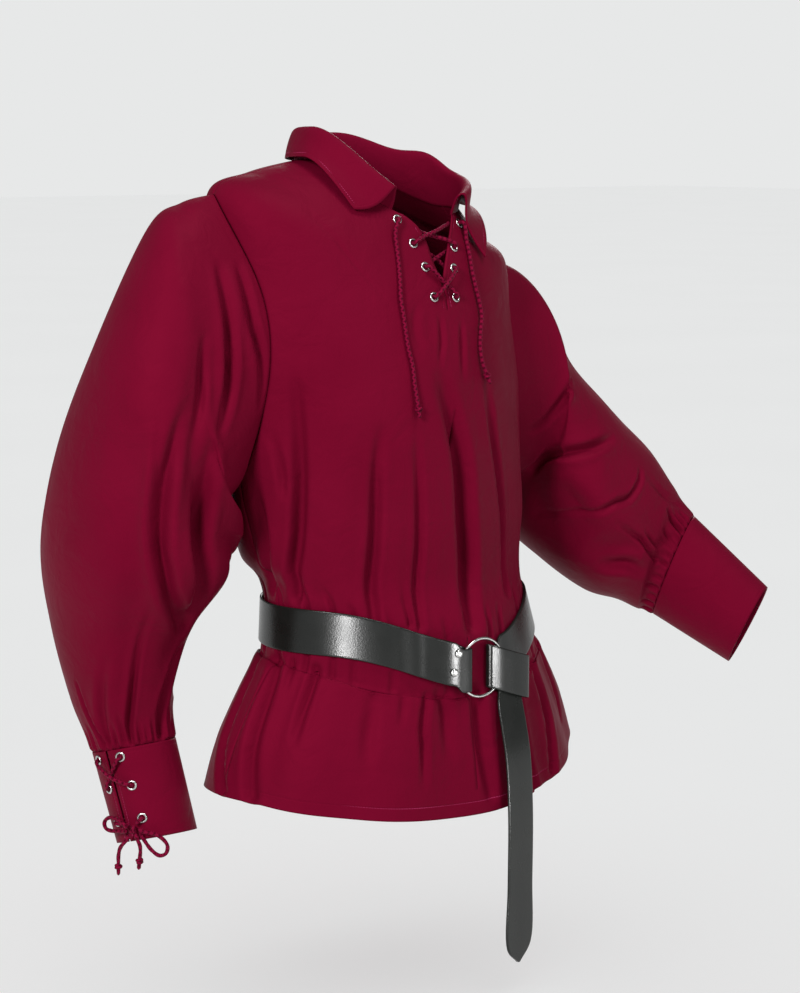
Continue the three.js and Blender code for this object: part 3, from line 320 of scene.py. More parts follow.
def column(values, t):
    """Smooth values of a table between its rows, at each row number in t."""
    last = len(values) - 1
    i = np.clip(np.floor(t), 0, last - 1).astype(int)
    around = [values[np.clip(i + n, 0, last)] for n in (-1, 0, 1, 2)]
    f = t - i
    return catmull(*around, f if values.ndim == 1 else f[:, None])


def unit(v):
    return v / np.linalg.norm(v, axis=-1, keepdims=True)


def arrays(*values):
    return np.broadcast_arrays(*(np.asarray(v, float) for v in values))


def ring_point(rings, angle, t):
    """Points of a table's ring numbers t at angles in degrees."""
    s, c = np.sin(np.radians(angle)), np.cos(np.radians(angle))
    row = column(rings, t).T
    cx, cy, right, left, front, back, z_right, z_left, z_front, z_back = row[:10]
    if len(row) > 10:  # the collar's left front quarter has its own size and height
        front = np.where(s > 0, row[10], front)
        z_front = np.where(s > 0, row[11], z_front)
    across = np.where(s < 0, right, left)
    deep = np.where(c > 0, front, back)
    side = np.where(s < 0, z_right, z_left)
    middle = np.where(c > 0, z_front, z_back)
    return np.stack([cx + across * s, cy - deep * c, side * s * s + middle * c * c], axis=-1)


FOLD_RISE = 0.7  # under 1, so that a fold rises fast at both ends
ARMHOLE_ROUNDING = 0.8  # under 1, so that an armhole's curve is full


def fold_depth(folds, angle, t):
    """How deep the large folds are at angles and ring numbers."""
    depth = np.zeros_like(angle, dtype=float)
    for upper, lower, start, end, width, deepest in folds:
        along = np.clip((start - t) / (start - end), 0, 1)
        away = (angle - upper - (lower - upper) * along + 540) % 360 - 180
        rise = np.maximum(np.sin(np.pi * along), 0) ** FOLD_RISE
        depth += deepest * rise * np.exp(-((away / width) ** 2))
    return depth


def body_surface(angle, t):
    angle, t = arrays(angle, t)
    depth = fold_depth(BODY_FOLDS, angle, t)
    turn = np.radians(angle)
    outward = np.stack([np.sin(turn), -np.cos(turn), np.zeros_like(turn)], axis=-1)
    return ring_point(BODY_RINGS, angle, t) - outward * depth[:, None]


def collar_surface(angle, t):
    angle, t = arrays(angle, t)
    points = ring_point(COLLAR_RINGS, angle, t)
    away = (angle - COLLAR_LIFT["angle"]) / COLLAR_LIFT["width"]
    points[:, 2] += column(COLLAR_RINGS[:, 14], t) * np.exp(-away * away) + SEAM
    return points


def normal_of(surface, angle, t, flip=1):
    """Outward unit normals of a surface, from two short steps on it."""
    along = surface(angle + 0.5, t) - surface(angle - 0.5, t)
    up = surface(angle, t + 0.02) - surface(angle, t - 0.02)
    return unit(np.cross(along, up)) * flip


def panel_edge(panel, t):
    """Angles at which a panel ends at ring numbers t: its side seam, armhole or shoulder."""
    up = np.clip((t - UNDERARM) / (SHOULDER - UNDERARM), 0, 1)
    dip = ARMHOLE_DIP[panel] * np.maximum(np.sin(np.pi * up), 0) ** ARMHOLE_ROUNDING
    return 90 - dip if panel == "front" else 90 + dip


def armhole_ring(down):
    """Ring numbers of the armhole, down from 0 at the shoulder point to 1 at the underarm."""
    return SHOULDER - (SHOULDER - UNDERARM) * (1 - np.cos(np.pi * down)) / 2


def armhole_point(side, phi):
    """Points of the armhole at angles round the sleeve: 0 at the shoulder, 90 at the front."""
    sign = SIGN[side]
    turn = phi % 360
    down = np.where(turn <= 180, turn, 360 - turn) / 180
    t = armhole_ring(down)
    edge = np.where(turn <= 180, panel_edge("front", t), panel_edge("back", t)) * sign
    middle = body_surface([90.0 * sign], [(UNDERARM + SHOULDER) / 2])
    points = body_surface(edge, t)
    return points + unit(middle - points) * SEWN_GAP


def sleeve_loops(side, phi):
    """Points at angles phi of every loop, from the armhole to the cuff's end."""
    rows = SLEEVE_LOOPS[side]
    centre = (rows[:, :3] + rows[:, 3:6]) / 2
    loops = [armhole_point(side, phi)]
    c, s = np.cos(np.radians(phi))[:, None], np.sin(np.radians(phi))[:, None]
    for k, row in enumerate(rows):
        half = (row[:3] - row[3:6]) / 2
        along = centre[min(k + 1, len(rows) - 1)] - centre[max(k - 1, 0)]
        forward = unit(np.cross(along, half)) * SIGN[side]
        loops.append(centre[k] + half * c + forward * s * np.where(s > 0, row[6], row[7]))
    return np.array(loops)


def plain_sleeve(side, phi, t):
    """Sleeve and cuff without folds. The cuff is straight between its two loops."""
    loops = sleeve_loops(side, phi)
    last = len(loops) - 1
    each = np.arange(len(phi))
    i = np.clip(np.floor(t), 0, last - 1).astype(int)
    around = [loops[np.clip(i + n, 0, last), each] for n in (-1, 0, 1, 2)]
    smooth = catmull(*around, (t - i)[:, None])
    f = (t - CUFF_SEAM)[:, None]
    straight = loops[CUFF_SEAM] * (1 - f) + loops[last] * f
    return np.where(f >= 0, straight, smooth)


def sleeve_surface(side, phi, t):
    phi, t = arrays(phi, t)
    points = plain_sleeve(side, phi, t)
    inward = unit(plain_sleeve(side, phi + 180, t) - points)
    return points + inward * fold_depth(SLEEVE_FOLDS[side], phi, t)[:, None]


def cuff_point(side, phi, f, out):
    """Points of the cuff, f from 0 at its seam to 1 at its open end, out along its normal."""
    phi, f, out = arrays(phi, f, out)
    surface = partial(sleeve_surface, side)
    normal = normal_of(surface, phi, CUFF_SEAM + 0.03 + 0.95 * f, SIGN[side])
    return surface(phi, CUFF_SEAM + f) + normal * out[:, None]


def laced_point(side, turn, f, out):
    """Points of a cuff's lacing. The left cuff is laced as a mirror image of the right one."""
    angle = CUFF_SLIT[side] - SIGN[side] * np.asarray(turn, float)
    return cuff_point(side, angle, np.asarray(f, float) * LACED_REACH[side], out)


def bow_point(side, rows):
    """Points that lie across, down and out from the middle of a cuff's bow."""
    facing = math.radians(BOW_FACING[side])
    across, down, out = np.atleast_2d(np.array(rows, float)).T
    level = -SIGN[side] * across
    offset = np.stack([
        out * math.cos(facing) - level * math.sin(facing),
        out * math.sin(facing) + level * math.cos(facing),
        -down,
    ], axis=-1)
    return laced_point(side, [BOW_TURN], [BOW_F[side]], [6.0]) + offset


# ---------------------------------------------------------------- making meshes


def finish_piece(bm, name, material, node):
    """Turns a bmesh in millimetres into a piece on the body in metres."""
    bmesh.ops.scale(bm, vec=(MM, MM, MM), verts=bm.verts)
    mesh = bpy.data.meshes.new(name)
    bm.to_mesh(mesh)
    bm.free()
    mesh.polygons.foreach_set("use_smooth", [True] * len(mesh.polygons))
    piece = bpy.data.objects.new(name, mesh)
    bpy.context.scene.collection.objects.link(piece)
    mesh.materials.append(material)
    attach(piece, "root")
    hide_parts(node)
    return piece


def lay_grid(bm, points, uv, edge=None, flip=False):
    """Adds a grid of faces through rows and columns of points, with cloth coordinates."""
    uv_layer = bm.loops.layers.uv.get("cloth") or bm.loops.layers.uv.new("cloth")
    edge_layer = bm.verts.layers.float.get("edge") or bm.verts.layers.float.new("edge")
    rows, columns = points.shape[:2]
    first = len(bm.verts)
    made = bmesh.ops.create_grid(bm, x_segments=columns - 1, y_segments=rows - 1, size=1)
    verts = made["verts"]
    for vert, place in zip(verts, points.reshape(-1, 3)):
        vert.co = place
    bm.verts.index_update()
    faces = {face for vert in verts for face in vert.link_faces}
    flat_uv = uv.reshape(-1, 2)
    for face in faces:
        for loop in face.loops:
            loop[uv_layer].uv = flat_uv[loop.vert.index - first]
    if edge is not None:
        for vert, value in zip(verts, edge.ravel()):
            vert[edge_layer] = value
    if flip:
        bmesh.ops.reverse_faces(bm, faces=list(faces))


def weld(bm, distance=0.02):
    bmesh.ops.remove_doubles(bm, verts=bm.verts, dist=distance)


def smooth_route(points, per_span=24):
    """A centripetal Catmull-Rom curve through points."""
    p = np.array(points, float)
    p = np.vstack([2 * p[0] - p[1], p, 2 * p[-1] - p[-2]])
    out = []
    for a, b, c, d in zip(p, p[1:], p[2:], p[3:]):
        gap = [max(np.linalg.norm(y - x) ** 0.5, 1e-4) for x, y in ((a, b), (b, c), (c, d))]
        start = (b - a) / gap[0] - (c - a) / (gap[0] + gap[1]) + (c - b) / gap[1]
        stop = (c - b) / gap[1] - (d - b) / (gap[1] + gap[2]) + (d - c) / gap[2]
        start, stop = start * gap[1], stop * gap[1]
        f = np.linspace(0, 1, per_span, endpoint=False)[:, None]
        out.append(
            b + start * f + (3 * (c - b) - 2 * start - stop) * f**2
            + (2 * (b - c) + start + stop) * f**3
        )
    return np.vstack([*out, p[-2:-1]])


def run_length(line):
    return np.concatenate([[0], np.cumsum(np.linalg.norm(np.diff(line, axis=0), axis=1))])


def even_points(line):
    """Points at even steps along a cord's line."""
    run = run_length(line)
    at = np.linspace(0, run[-1], max(int(round(run[-1] / CORD_STEP)), 4) + 1)
    return np.stack([np.interp(at, run, line[:, k]) for k in range(3)], axis=1)


def carried_frames(line):
    """Two directions across a line at each point, carried along it without twist."""
    ahead = unit(np.gradient(line, axis=0))
    first = np.cross(ahead[0], (0, 0, 1))
    if np.linalg.norm(first) < 0.1:
        first = np.cross(ahead[0], (1, 0, 0))
    across = [unit(first)]
    for direction in ahead[1:]:
        last = across[-1]
        across.append(unit(last - direction * np.dot(last, direction)))
    across = np.array(across)
    return across, np.cross(ahead, across)


PLY_PITCH = 12  # mm of cord for each ply in one turn


def sweep_cord(line, radius=LACE, sides=12, plies=0):
    """A bmesh of a round cord along a line. Plies are the strands that wind round it."""
    across, above = carried_frames(line)
    run = run_length(line)
    turn = np.linspace(0, 2 * np.pi, sides + 1)
    # Both ends are softly rounded.
    thick = radius * np.sqrt(np.clip(np.minimum(run, run[-1] - run) / radius, 0.02, 1))
    shape = np.ones((len(line), sides + 1))
    if plies:
        wind = turn[None, :] - 2 * np.pi * run[:, None] / (PLY_PITCH * plies)
        shape = 0.86 + 0.16 * np.abs(np.cos(plies * wind / 2))
    reach = thick[:, None] * shape
    points = (
        line[:, None, :]
        + across[:, None, :] * (np.cos(turn)[None, :] * reach)[:, :, None]
        + above[:, None, :] * (np.sin(turn)[None, :] * reach)[:, :, None]
    )
    uv = np.stack(np.broadcast_arrays(turn[None, :] * radius, run[:, None]), axis=-1) * MM
    bm = bmesh.new()
    lay_grid(bm, points, uv, flip=True)
    weld(bm)
    return bm


# ---------------------------------------------------------------- materials


def linear(hex_colour):
    """An sRGB hex colour as a linear RGBA tuple."""
    parts = [int(hex_colour[i : i + 2], 16) / 255 for i in (1, 3, 5)]
    return (*((v / 12.92 if v <= 0.04045 else ((v + 0.055) / 1.055) ** 2.4) for v in parts), 1.0)


def add_node(tree, kind, inputs=None, **settings):
    """Adds a node with its settings. An input's value is a socket to link or a number."""
    made = tree.nodes.new(kind)
    for key, value in settings.items():
        setattr(made, key, value)
    for key, value in (inputs or {}).items():
        if isinstance(value, bpy.types.NodeSocket):
            tree.links.new(value, made.inputs[key])
        else:
            made.inputs[key].default_value = value
    return made


def math_node(tree, operation, *values):
    inputs = dict(enumerate(values))
    return add_node(tree, "ShaderNodeMath", inputs, operation=operation).outputs[0]


def noise(tree, place, scale, detail, **inputs):
    inputs = {"Vector": place, "Scale": scale, "Detail": detail, **inputs}
    return add_node(tree, "ShaderNodeTexNoise", inputs).outputs["Fac"]


def diagonal_wave(tree, place, scale, **inputs):
    """Diagonal bands, which repeat every 0.444 m at a scale of 1."""
    inputs = {"Vector": place, "Scale": scale, **inputs}
    made = add_node(tree, "ShaderNodeTexWave", inputs, bands_direction="DIAGONAL")
    return made.outputs["Fac"]


def blend(tree, share, first, second):
    """A colour between two, each a hex colour or a socket."""
    first, second = (linear(c) if isinstance(c, str) else c for c in (first, second))
    inputs = {"Factor": share, "A": first, "B": second}
    return add_node(tree, "ShaderNodeMix", inputs, data_type="RGBA").outputs["Result"]


def ranged(tree, value, start, stop, full=1.0):
    """Goes from start to stop as the value goes from 0 to full."""
    inputs = {"Value": value, "From Max": full, "To Min": start, "To Max": stop}
    return add_node(tree, "ShaderNodeMapRange", inputs).outputs[0]


def bumped(tree, height, strength, distance, **inputs):
    inputs = {"Height": height, "Strength": strength, "Distance": distance, **inputs}
    return add_node(tree, "ShaderNodeBump", inputs).outputs[0]


def new_tree(name):
    """The empty node tree of a new material."""
    material = bpy.data.materials.new(name)
    material.use_nodes = True
    material.node_tree.nodes.clear()
    return material, material.node_tree


def shade(tree, colour, roughness, inputs):
    inputs = {"Base Color": colour, "Roughness": roughness, **inputs}
    shader = add_node(tree, "ShaderNodeBsdfPrincipled", inputs)
    add_node(tree, "ShaderNodeOutputMaterial", {"Surface": shader.outputs[0]})


def object_place(tree):
    return add_node(tree, "ShaderNodeTexCoord").outputs["Object"]


def cloth_place(tree):
    """The cloth coordinates as one vector and as two numbers, in metres."""
    place = add_node(tree, "ShaderNodeUVMap", uv_map="cloth").outputs["UV"]
    split = add_node(tree, "ShaderNodeSeparateXYZ", {"Vector": place})
    return place, split.outputs["X"], split.outputs["Y"]


def edge_distance(tree):
    return add_node(tree, "ShaderNodeAttribute", attribute_name="edge").outputs["Fac"]


STITCH = 0.003  # m from one lockstitch to the next
RIB_SCALE = 200  # a rib every 2.2 mm
BRAID_SCALE = 104.17  # a strand every 4.3 mm


def viscose_twill():
    """Washed viscose twill, piece-dyed crimson: a soft silky sheen on the folds, a faint
    diagonal rib, and a lighter sewing thread that sinks into the cloth."""
    material, tree = new_tree("washed viscose twill")
    place = object_place(tree)
    cloth, across, up = cloth_place(tree)

    # Uneven dye: broad clouds a hand's width across.
    dye = blend(tree, noise(tree, place, 9, 3), "#5c051e", "#690925")

    # A row of lockstitch, in a groove, where the edge attribute crosses zero.
    run = math_node(tree, "ADD", across, up)
    beat = math_node(tree, "SINE", math_node(tree, "MULTIPLY", run, 2 * math.pi / STITCH))
    dash = math_node(tree, "GREATER_THAN", beat, -0.55)
    off_line = math_node(tree, "ABSOLUTE", edge_distance(tree))
    thread = math_node(tree, "MULTIPLY", dash, math_node(tree, "LESS_THAN", off_line, 0.42))
    groove = ranged(tree, off_line, 0, 1, full=1.9)
    sunk = math_node(tree, "ADD", groove, math_node(tree, "MULTIPLY", thread, 0.6))
    stitched = blend(tree, thread, dye, "#a0305a")

    # The twill's real rib is 0.5 mm wide. It is drawn wider, so that it shows.
    rib = diagonal_wave(
        tree, cloth, RIB_SCALE, **{"Distortion": 1.2, "Detail": 1.0, "Detail Scale": 2.0}
    )
    crumple = noise(tree, place, 26, 4, Roughness=0.52, Distortion=0.6)
    fine = bumped(tree, rib, 0.05, 0.0004)
    soft = bumped(tree, crumple, 0.4, 0.006, Normal=fine)
    sewn = bumped(tree, sunk, 0.7, 0.0006, Normal=soft)
    shade(tree, stitched, ranged(tree, crumple, 0.5, 0.62), {
        "Specular IOR Level": 0.14, "Specular Tint": linear("#f0305c"), "Sheen Weight": 0.06,
        "Sheen Roughness": 0.35, "Sheen Tint": linear("#c81848"), "Normal": sewn,
    })
    return material


def cotton_cord():
    """Braided cotton cord, dyed like the cloth: matt, with painted shade between the strands."""
    material, tree = new_tree("braided cotton cord")
    cloth, across, up = cloth_place(tree)
    # Two crossed sets of strands make a braid.
    back = math_node(tree, "MULTIPLY", across, -1.0)
    mirrored = add_node(tree, "ShaderNodeCombineXYZ", {"X": back, "Y": up}).outputs[0]
    left, right = (
        diagonal_wave(tree, place, BRAID_SCALE, Distortion=0.8) for place in (cloth, mirrored)
    )
    weave_and_gap_shade = math_node(tree, "MAXIMUM", left, right)
    fuzz = math_node(tree, "MULTIPLY", noise(tree, cloth, 900, 3), 0.4)
    bump = bumped(tree, math_node(tree, "ADD", weave_and_gap_shade, fuzz), 0.8, 0.0008)
    # The colour is darker where the weave is low, in the gaps between the strands: painted shade.
    shade(tree, blend(tree, weave_and_gap_shade, "#2a0310", "#6c0a2b"), 0.6, {
        "Specular Tint": linear("#f0305c"), "Sheen Weight": 0.04, "Sheen Roughness": 0.4,
        "Sheen Tint": linear("#e02050"), "Normal": bump,
    })
    return material


def bridle_leather():
    """Vegetable-tanned bridle leather, dyed black and waxed: a fine grain under a soft polish,
    with greyer scuffs and a rubbed edge."""
    material, tree = new_tree("waxed bridle leather")
    place = object_place(tree)
    grain = add_node(tree, "ShaderNodeTexVoronoi", {"Vector": place, "Scale": 620.0})
    pores = math_node(tree, "MULTIPLY", noise(tree, place, 1400, 2), 0.5)
    height = math_node(tree, "ADD", grain.outputs["Distance"], pores)
    wax = noise(tree, place, 30, 5)
    rubbed = ranged(tree, edge_distance(tree), 0.45, 0, full=2.2)
    tone = math_node(tree, "ADD", math_node(tree, "MULTIPLY", wax, 0.5), rubbed)
    shade(tree, blend(tree, tone, "#070807", "#151715"), ranged(tree, wax, 0.2, 0.34), {
        "Specular IOR Level": 0.34, "Normal": bumped(tree, height, 0.12, 0.0006),
    })
    return material


def nickel_plate():
    """Bright nickel plate on steel, a little worn: mirror highlights with fine scratches."""
    material, tree = new_tree("bright nickel plate")
    wear = noise(tree, object_place(tree), 260, 5)
    shade(tree, blend(tree, wear, "#b9bab8", "#dcdcda"), ranged(tree, wear, 0.16, 0.34), {
        "Metallic": 1.0, "Normal": bumped(tree, wear, 0.06, 0.0003),
    })
    return material


def painted_floor():
    """Matt white studio paint."""
    material, tree = new_tree("matt studio paint")
    mottle = noise(tree, object_place(tree), 1.3, 2)
    shade(tree, blend(tree, mottle, "#fafbfb", "#fdfefe"), 0.9, {})
    return material


TWILL = viscose_twill()
BRAID = cotton_cord()
LEATHER = bridle_leather()
NICKEL = nickel_plate()

# ---------------------------------------------------------------- laces


def cord_piece(name, line, node, plies=0):
    """A free cord along a line in millimetres."""
    piece = finish_piece(sweep_cord(line, plies=plies), name, BRAID, node)


def end_knot(name, line, node):
    """An overhand knot round a cord: a coil that goes on from the end of its line for 2.1 to
    6.1 mm and swells by 0.7 mm in the middle."""
    ahead = unit(line[-1] - line[-2])
    across, above = carried_frames(np.array([line[-1], line[-1] + ahead]))
    turn = np.linspace(0, 2 * np.pi * 1.7, 44)[:, None]
    along = np.linspace(2.1, 6.1, 44)[:, None]
    reach = 2.1 + 0.7 * np.sin(np.linspace(0, np.pi, 44))[:, None]
    coil = line[-1] + ahead * along + (across[0] * np.cos(turn) + above[0] * np.sin(turn)) * reach
    return finish_piece(sweep_cord(coil, radius=1.7, sides=10), name, BRAID, node)


def tied_end(name, route, node, knot_node, plies=0):
    """A hanging end of a lace, with the knot near its tip."""
    line = even_points(smooth_route(route))
    knot = end_knot(f"{name}_knot", line, knot_node)
    ahead = unit(line[-1] - line[-2])
    tip = line[-1] + ahead * TAIL_LENGTH * np.array([[0.5], [1.0]])
    whole = even_points(np.vstack([line, tip]))
    cord_piece(name, whole, node, plies=plies)


cord_piece("neck_lace", even_points(smooth_route(NECK_LACE)), "lace_neck")
for side, route in NECK_ENDS.items():
    tied_end(f"neck_lace_end_{side}", route, f"lace_neck_end_{side}", f"knot_neck_end_{side}")

for side in SIGN:
    name, node = f"cuff_lace_{side}", f"lace_cuff_{side}"
    line = even_points(smooth_route(laced_point(side, *CUFF_LACE.T)))
    cord_piece(name, line, node, plies=CUFF_PLIES)
    for loop, rows in (("loop_a", LARGE_LOOP), ("loop_b", SMALL_LOOP[side])):
        line = even_points(smooth_route(bow_point(side, rows)))
        cord_piece(
            f"{name}_{loop}", line, f"{node}_{loop}", plies=CUFF_PLIES
        )
    for end, rows in BOW_ENDS.items():
        tied_end(
            f"{name}_{end}", bow_point(side, rows), f"{node}_{end}", f"knot_cuff_{side}_{end}",
            plies=CUFF_PLIES,
        )
    # The bow's knot is the middle of the lace, wrapped round itself over 4.4 mm.
    turn = np.linspace(0, 2 * np.pi * 1.35, 40)
    wrap = np.stack(
        [np.linspace(-2.2, 2.2, 40), 2.6 * np.sin(turn), 2.2 * np.cos(turn)], axis=-1
    )
    knot = sweep_cord(bow_point(side, wrap), radius=2.1, sides=10)
    finish_piece(knot, f"{name}_knot", BRAID, f"knot_cuff_{side}")

# ---------------------------------------------------------------- creases


def chain_line(surface, chain):
    """Points and depths along a crease from (angle, ring number, depth) rows."""
    rows = np.array(chain, float)
    count = 6 * (len(rows) - 1) + 1
    at = np.linspace(0, len(rows) - 1, count)
    angle, t, depth = (column(rows[:, k], at) for k in range(3))
    return surface(angle, t), depth


PRESS = 1.6  # how far a crease sinks for each mm of depth in its rows
PRESS_REACH = 2.6  # half widths from its line at which a crease has died away
SHOULDER_RISE = 1.2  # of the soft shoulder on both sides of a crease


def press_creases(points, normals, surface, creases, slack):
    """Moves cloth in along its normals where creases run. Each crease is a half width in mm and
    a chain of rows. Slack is 0 at a sewn edge."""
    flat, outward = points.reshape(-1, 3), normals.reshape(-1, 3)
    depth = np.zeros(len(flat))
    for width, chain in creases:
        line, deep = chain_line(surface, chain)
        reach = PRESS_REACH * width
        near = np.all((flat > line.min(0) - reach) & (flat < line.max(0) + reach), axis=1)
        spots = np.flatnonzero(near)
        if not len(spots):
            continue
        best = np.full(len(spots), 1e9)
        level = np.zeros(len(spots))
        for a, b, da, db in zip(line, line[1:], deep, deep[1:]):
            step = b - a
            f = np.clip((flat[spots] - a) @ step / (step @ step), 0, 1)
            gap = np.linalg.norm(flat[spots] - a - f[:, None] * step, axis=1)
            closer = gap < best
            best[closer] = gap[closer]
            level[closer] = (da + (db - da) * f)[closer]
        x = best / width
        depth[spots] += PRESS * level * (1 - SHOULDER_RISE * x**2) * np.exp(-(x**2))
    depth *= slack.ravel()
    return (flat - outward * depth[:, None]).reshape(points.shape)


def slack_from(distance, reach=9.0):
    """How free cloth is to move at a distance in mm from a seam, from 0 to 1."""
    return 1 - np.exp(-((distance / reach) ** 2))


def grid_normals(points, wrap=False, flip=1):
    """Unit normals of a grid of points, rows going up and columns along."""
    if wrap:  # the last column repeats the first
        along = np.roll(points[:, :-1], -1, axis=1) - np.roll(points[:, :-1], 1, axis=1)
        along = np.concatenate([along, along[:, :1]], axis=1)
    else:
        along = np.gradient(points, axis=1)
    normal = np.cross(along, np.gradient(points, axis=0))
    return normal / np.maximum(np.linalg.norm(normal, axis=-1, keepdims=True), 1e-9) * flip


def cloth_coordinates(points):
    """Metres along and up the cloth at each point of a grid."""
    along = np.zeros(points.shape[:2])
    along[:, 1:] = np.cumsum(np.linalg.norm(np.diff(points, axis=1), axis=-1), axis=1)
    along -= along[:, along.shape[1] // 2][:, None]
    up = np.zeros(points.shape[:2])
    up[1:] = np.cumsum(np.linalg.norm(np.diff(points, axis=0), axis=-1), axis=0)
    return np.stack([along, up], axis=-1) * MM


def edge_distances(uv):
    """Distances in mm over a grid from its first and last column and its first and last row."""
    along, up = uv[..., 0] / MM, uv[..., 1] / MM
    return along - along[:, :1], along[:, -1:] - along, up, up[-1:] - up


def grid_points(surface, across, rows):
    """Points of a surface at a grid of angles and row numbers."""
    across, rows = np.broadcast_arrays(across, rows)
    return surface(across.ravel(), rows.ravel()).reshape(*across.shape, 3)


def cloth_piece(name, node, thickness, held, *grids, flip=False):
    """A shell of cloth inside one or more grids of (points, uv, edge)."""
    bm = bmesh.new()
    for points, uv, edge in grids:
        lay_grid(bm, points, uv, edge, flip)
    weld(bm)
    piece = finish_piece(bm, name, TWILL, node)
    wall = piece.modifiers.new("wall", "SOLIDIFY")
    wall.thickness = thickness * MM
    wall.offset = -1


# Creases of the body: half width in mm, then (angle, ring number, depth) from one end to the
# other. They are as uneven as hand-pulled cloth is, in length, depth and spacing.
BODY_CREASES = [
    # Drawn down from the breast into the belt.
    (9, [(-56, 8.2, 0), (-57, 7.5, 4), (-60, 6.6, 7), (-66, 5.3, 8), (-76, 4.05, 5)]),
    (8, [(-81, 7.1, 0), (-81, 6.1, 4), (-83, 5.1, 5), (-94, 4.05, 3)]),
    (6, [(-69, 7.6, 0), (-66, 7.1, 3), (-67, 6.6, 0)]),
    (8, [(-26, 7.5, 0), (-29, 6.9, 4), (-31, 6.1, 6), (-34, 5.2, 6.5), (-40, 4.05, 4)]),
    (6, [(-14, 7.4, 0), (-14, 6.4, 4), (-15.5, 5.4, 5), (-21, 4.1, 3.5)]),
    (13, [(-4, 8.1, 0), (0, 7.6, 5), (4, 6.9, 9), (5, 6, 10), (6, 5.2, 10), (3, 4.1, 6)]),
    (4.5, [(-1, 8.9, 0), (-1, 8.5, 2.5), (-3, 8.1, 0)]),
    (5, [(9, 8.8, 0), (8, 8.4, 2.5), (7, 7.9, 0)]),
    (8, [(19, 7.9, 0), (21, 7.4, 3), (25, 6.7, 5), (29, 5.5, 6), (30, 4.5, 3)]),
    (6, [(43, 7.6, 0), (48, 7, 4), (49, 6.2, 4), (50, 5.4, 0)]),
    (4.5, [(-22, 5.1, 0), (-25, 4.1, 4)]),
    (7, [(-8, 9.2, 0), (-11, 8.7, 1.5), (-9, 8.3, 0)]),
    # A seam's mark from the right shoulder to the slit.
    (2.5, [(-54, 10.7, 0), (-44, 10.4, 0.6), (-35, 10.1, 0.8), (-26, 9.5, 0.7), (-16, 8.8, 0)]),
    (9, [(66, 7.4, 0), (68, 6.4, 5), (73, 5.2, 6), (76, 4.1, 4)]),
    # The same on the back.
    (10, [(112, 8, 0), (114, 7, 5), (117, 5.6, 7), (118, 4.1, 4)]),
    (7, [(134, 7.4, 0), (133, 6.2, 4), (131, 4.9, 5), (130, 4.1, 3)]),
    (10, [(152, 8.8, 0), (150, 7.4, 4), (147, 5.8, 6), (145, 4.1, 4)]),
    (7, [(171, 6.9, 0), (172, 5.7, 4), (170, 4.1, 4)]),
    (9, [(188, 8.3, 0), (186, 6.9, 4), (184, 5.4, 6), (183, 4.1, 3)]),
    (6, [(204, 6.5, 0), (206, 5.2, 4), (205, 4.1, 3)]),
    (10, [(222, 8.4, 0), (221, 7.2, 5), (222, 5.7, 7), (225, 4.1, 4)]),
    (8, [(246, 7.5, 0), (245, 6.4, 5), (243, 5, 6), (240, 4.1, 3)]),
    (12, [(120, 9.6, 0), (140, 9.2, 3), (160, 9.1, 3), (178, 9.3, 0)]),
    (11, [(196, 9.5, 0), (214, 9.2, 3), (235, 9.4, 0)]),
    # Falling from the belt into the skirt.
    (5, [(-79, 3, 2), (-78, 2.3, 4), (-77, 1.7, 0)]),
    (7, [(-66, 3, 3), (-65, 1.7, 5), (-63, 1.1, 0)]),
    (10, [(-90, 2.9, 3), (-83, 1.4, 6), (-76, 0.2, 4)]),
    (9, [(-108, 2.5, 2), (-100, 1, 5), (-91, 0.2, 3)]),
    (11, [(-41, 2.4, 0), (-38, 1.4, 3), (-35, 0.8, 0)]),
    (6, [(-29, 2.4, 1), (-28, 1.9, 2.5), (-27.5, 1.5, 0)]),
    (5.5, [(-19, 2.9, 2), (-20, 1.7, 5), (-18.5, 1.2, 5), (-18, 0.6, 0)]),
    (10, [(-14, 2.9, 2), (-11, 1.7, 4), (-9, 1, 0)]),
    (11, [(1, 2.9, 3), (2, 2, 6), (2, 1.3, 6), (4, 0.4, 3)]),
    (8, [(41, 2.6, 3), (38, 1.3, 6), (34, 0.2, 5)]),
    (7, [(26, 2.4, 2), (23, 0.9, 5), (24, 0.1, 4)]),
    (6, [(62, 2.4, 2), (59, 1.1, 3), (55, 0.5, 0)]),
    (9, [(95, 2.8, 3), (97, 1.2, 5), (94, 0.1, 3)]),
    (10, [(118, 2.7, 3), (116, 1.4, 6), (119, 0.2, 4)]),
    (7, [(139, 2.5, 0), (141, 1.4, 4), (140, 0.6, 0)]),
    (10, [(163, 2.9, 2), (166, 1.6, 5), (168, 0.3, 3)]),
    (7, [(187, 2.6, 2), (185, 1.5, 4), (186, 0.9, 0)]),
    (10, [(206, 2.8, 3), (209, 1.3, 6), (212, 0.1, 4)]),
    (8, [(233, 2.7, 2), (231, 1.5, 5), (229, 0.5, 0)]),
]

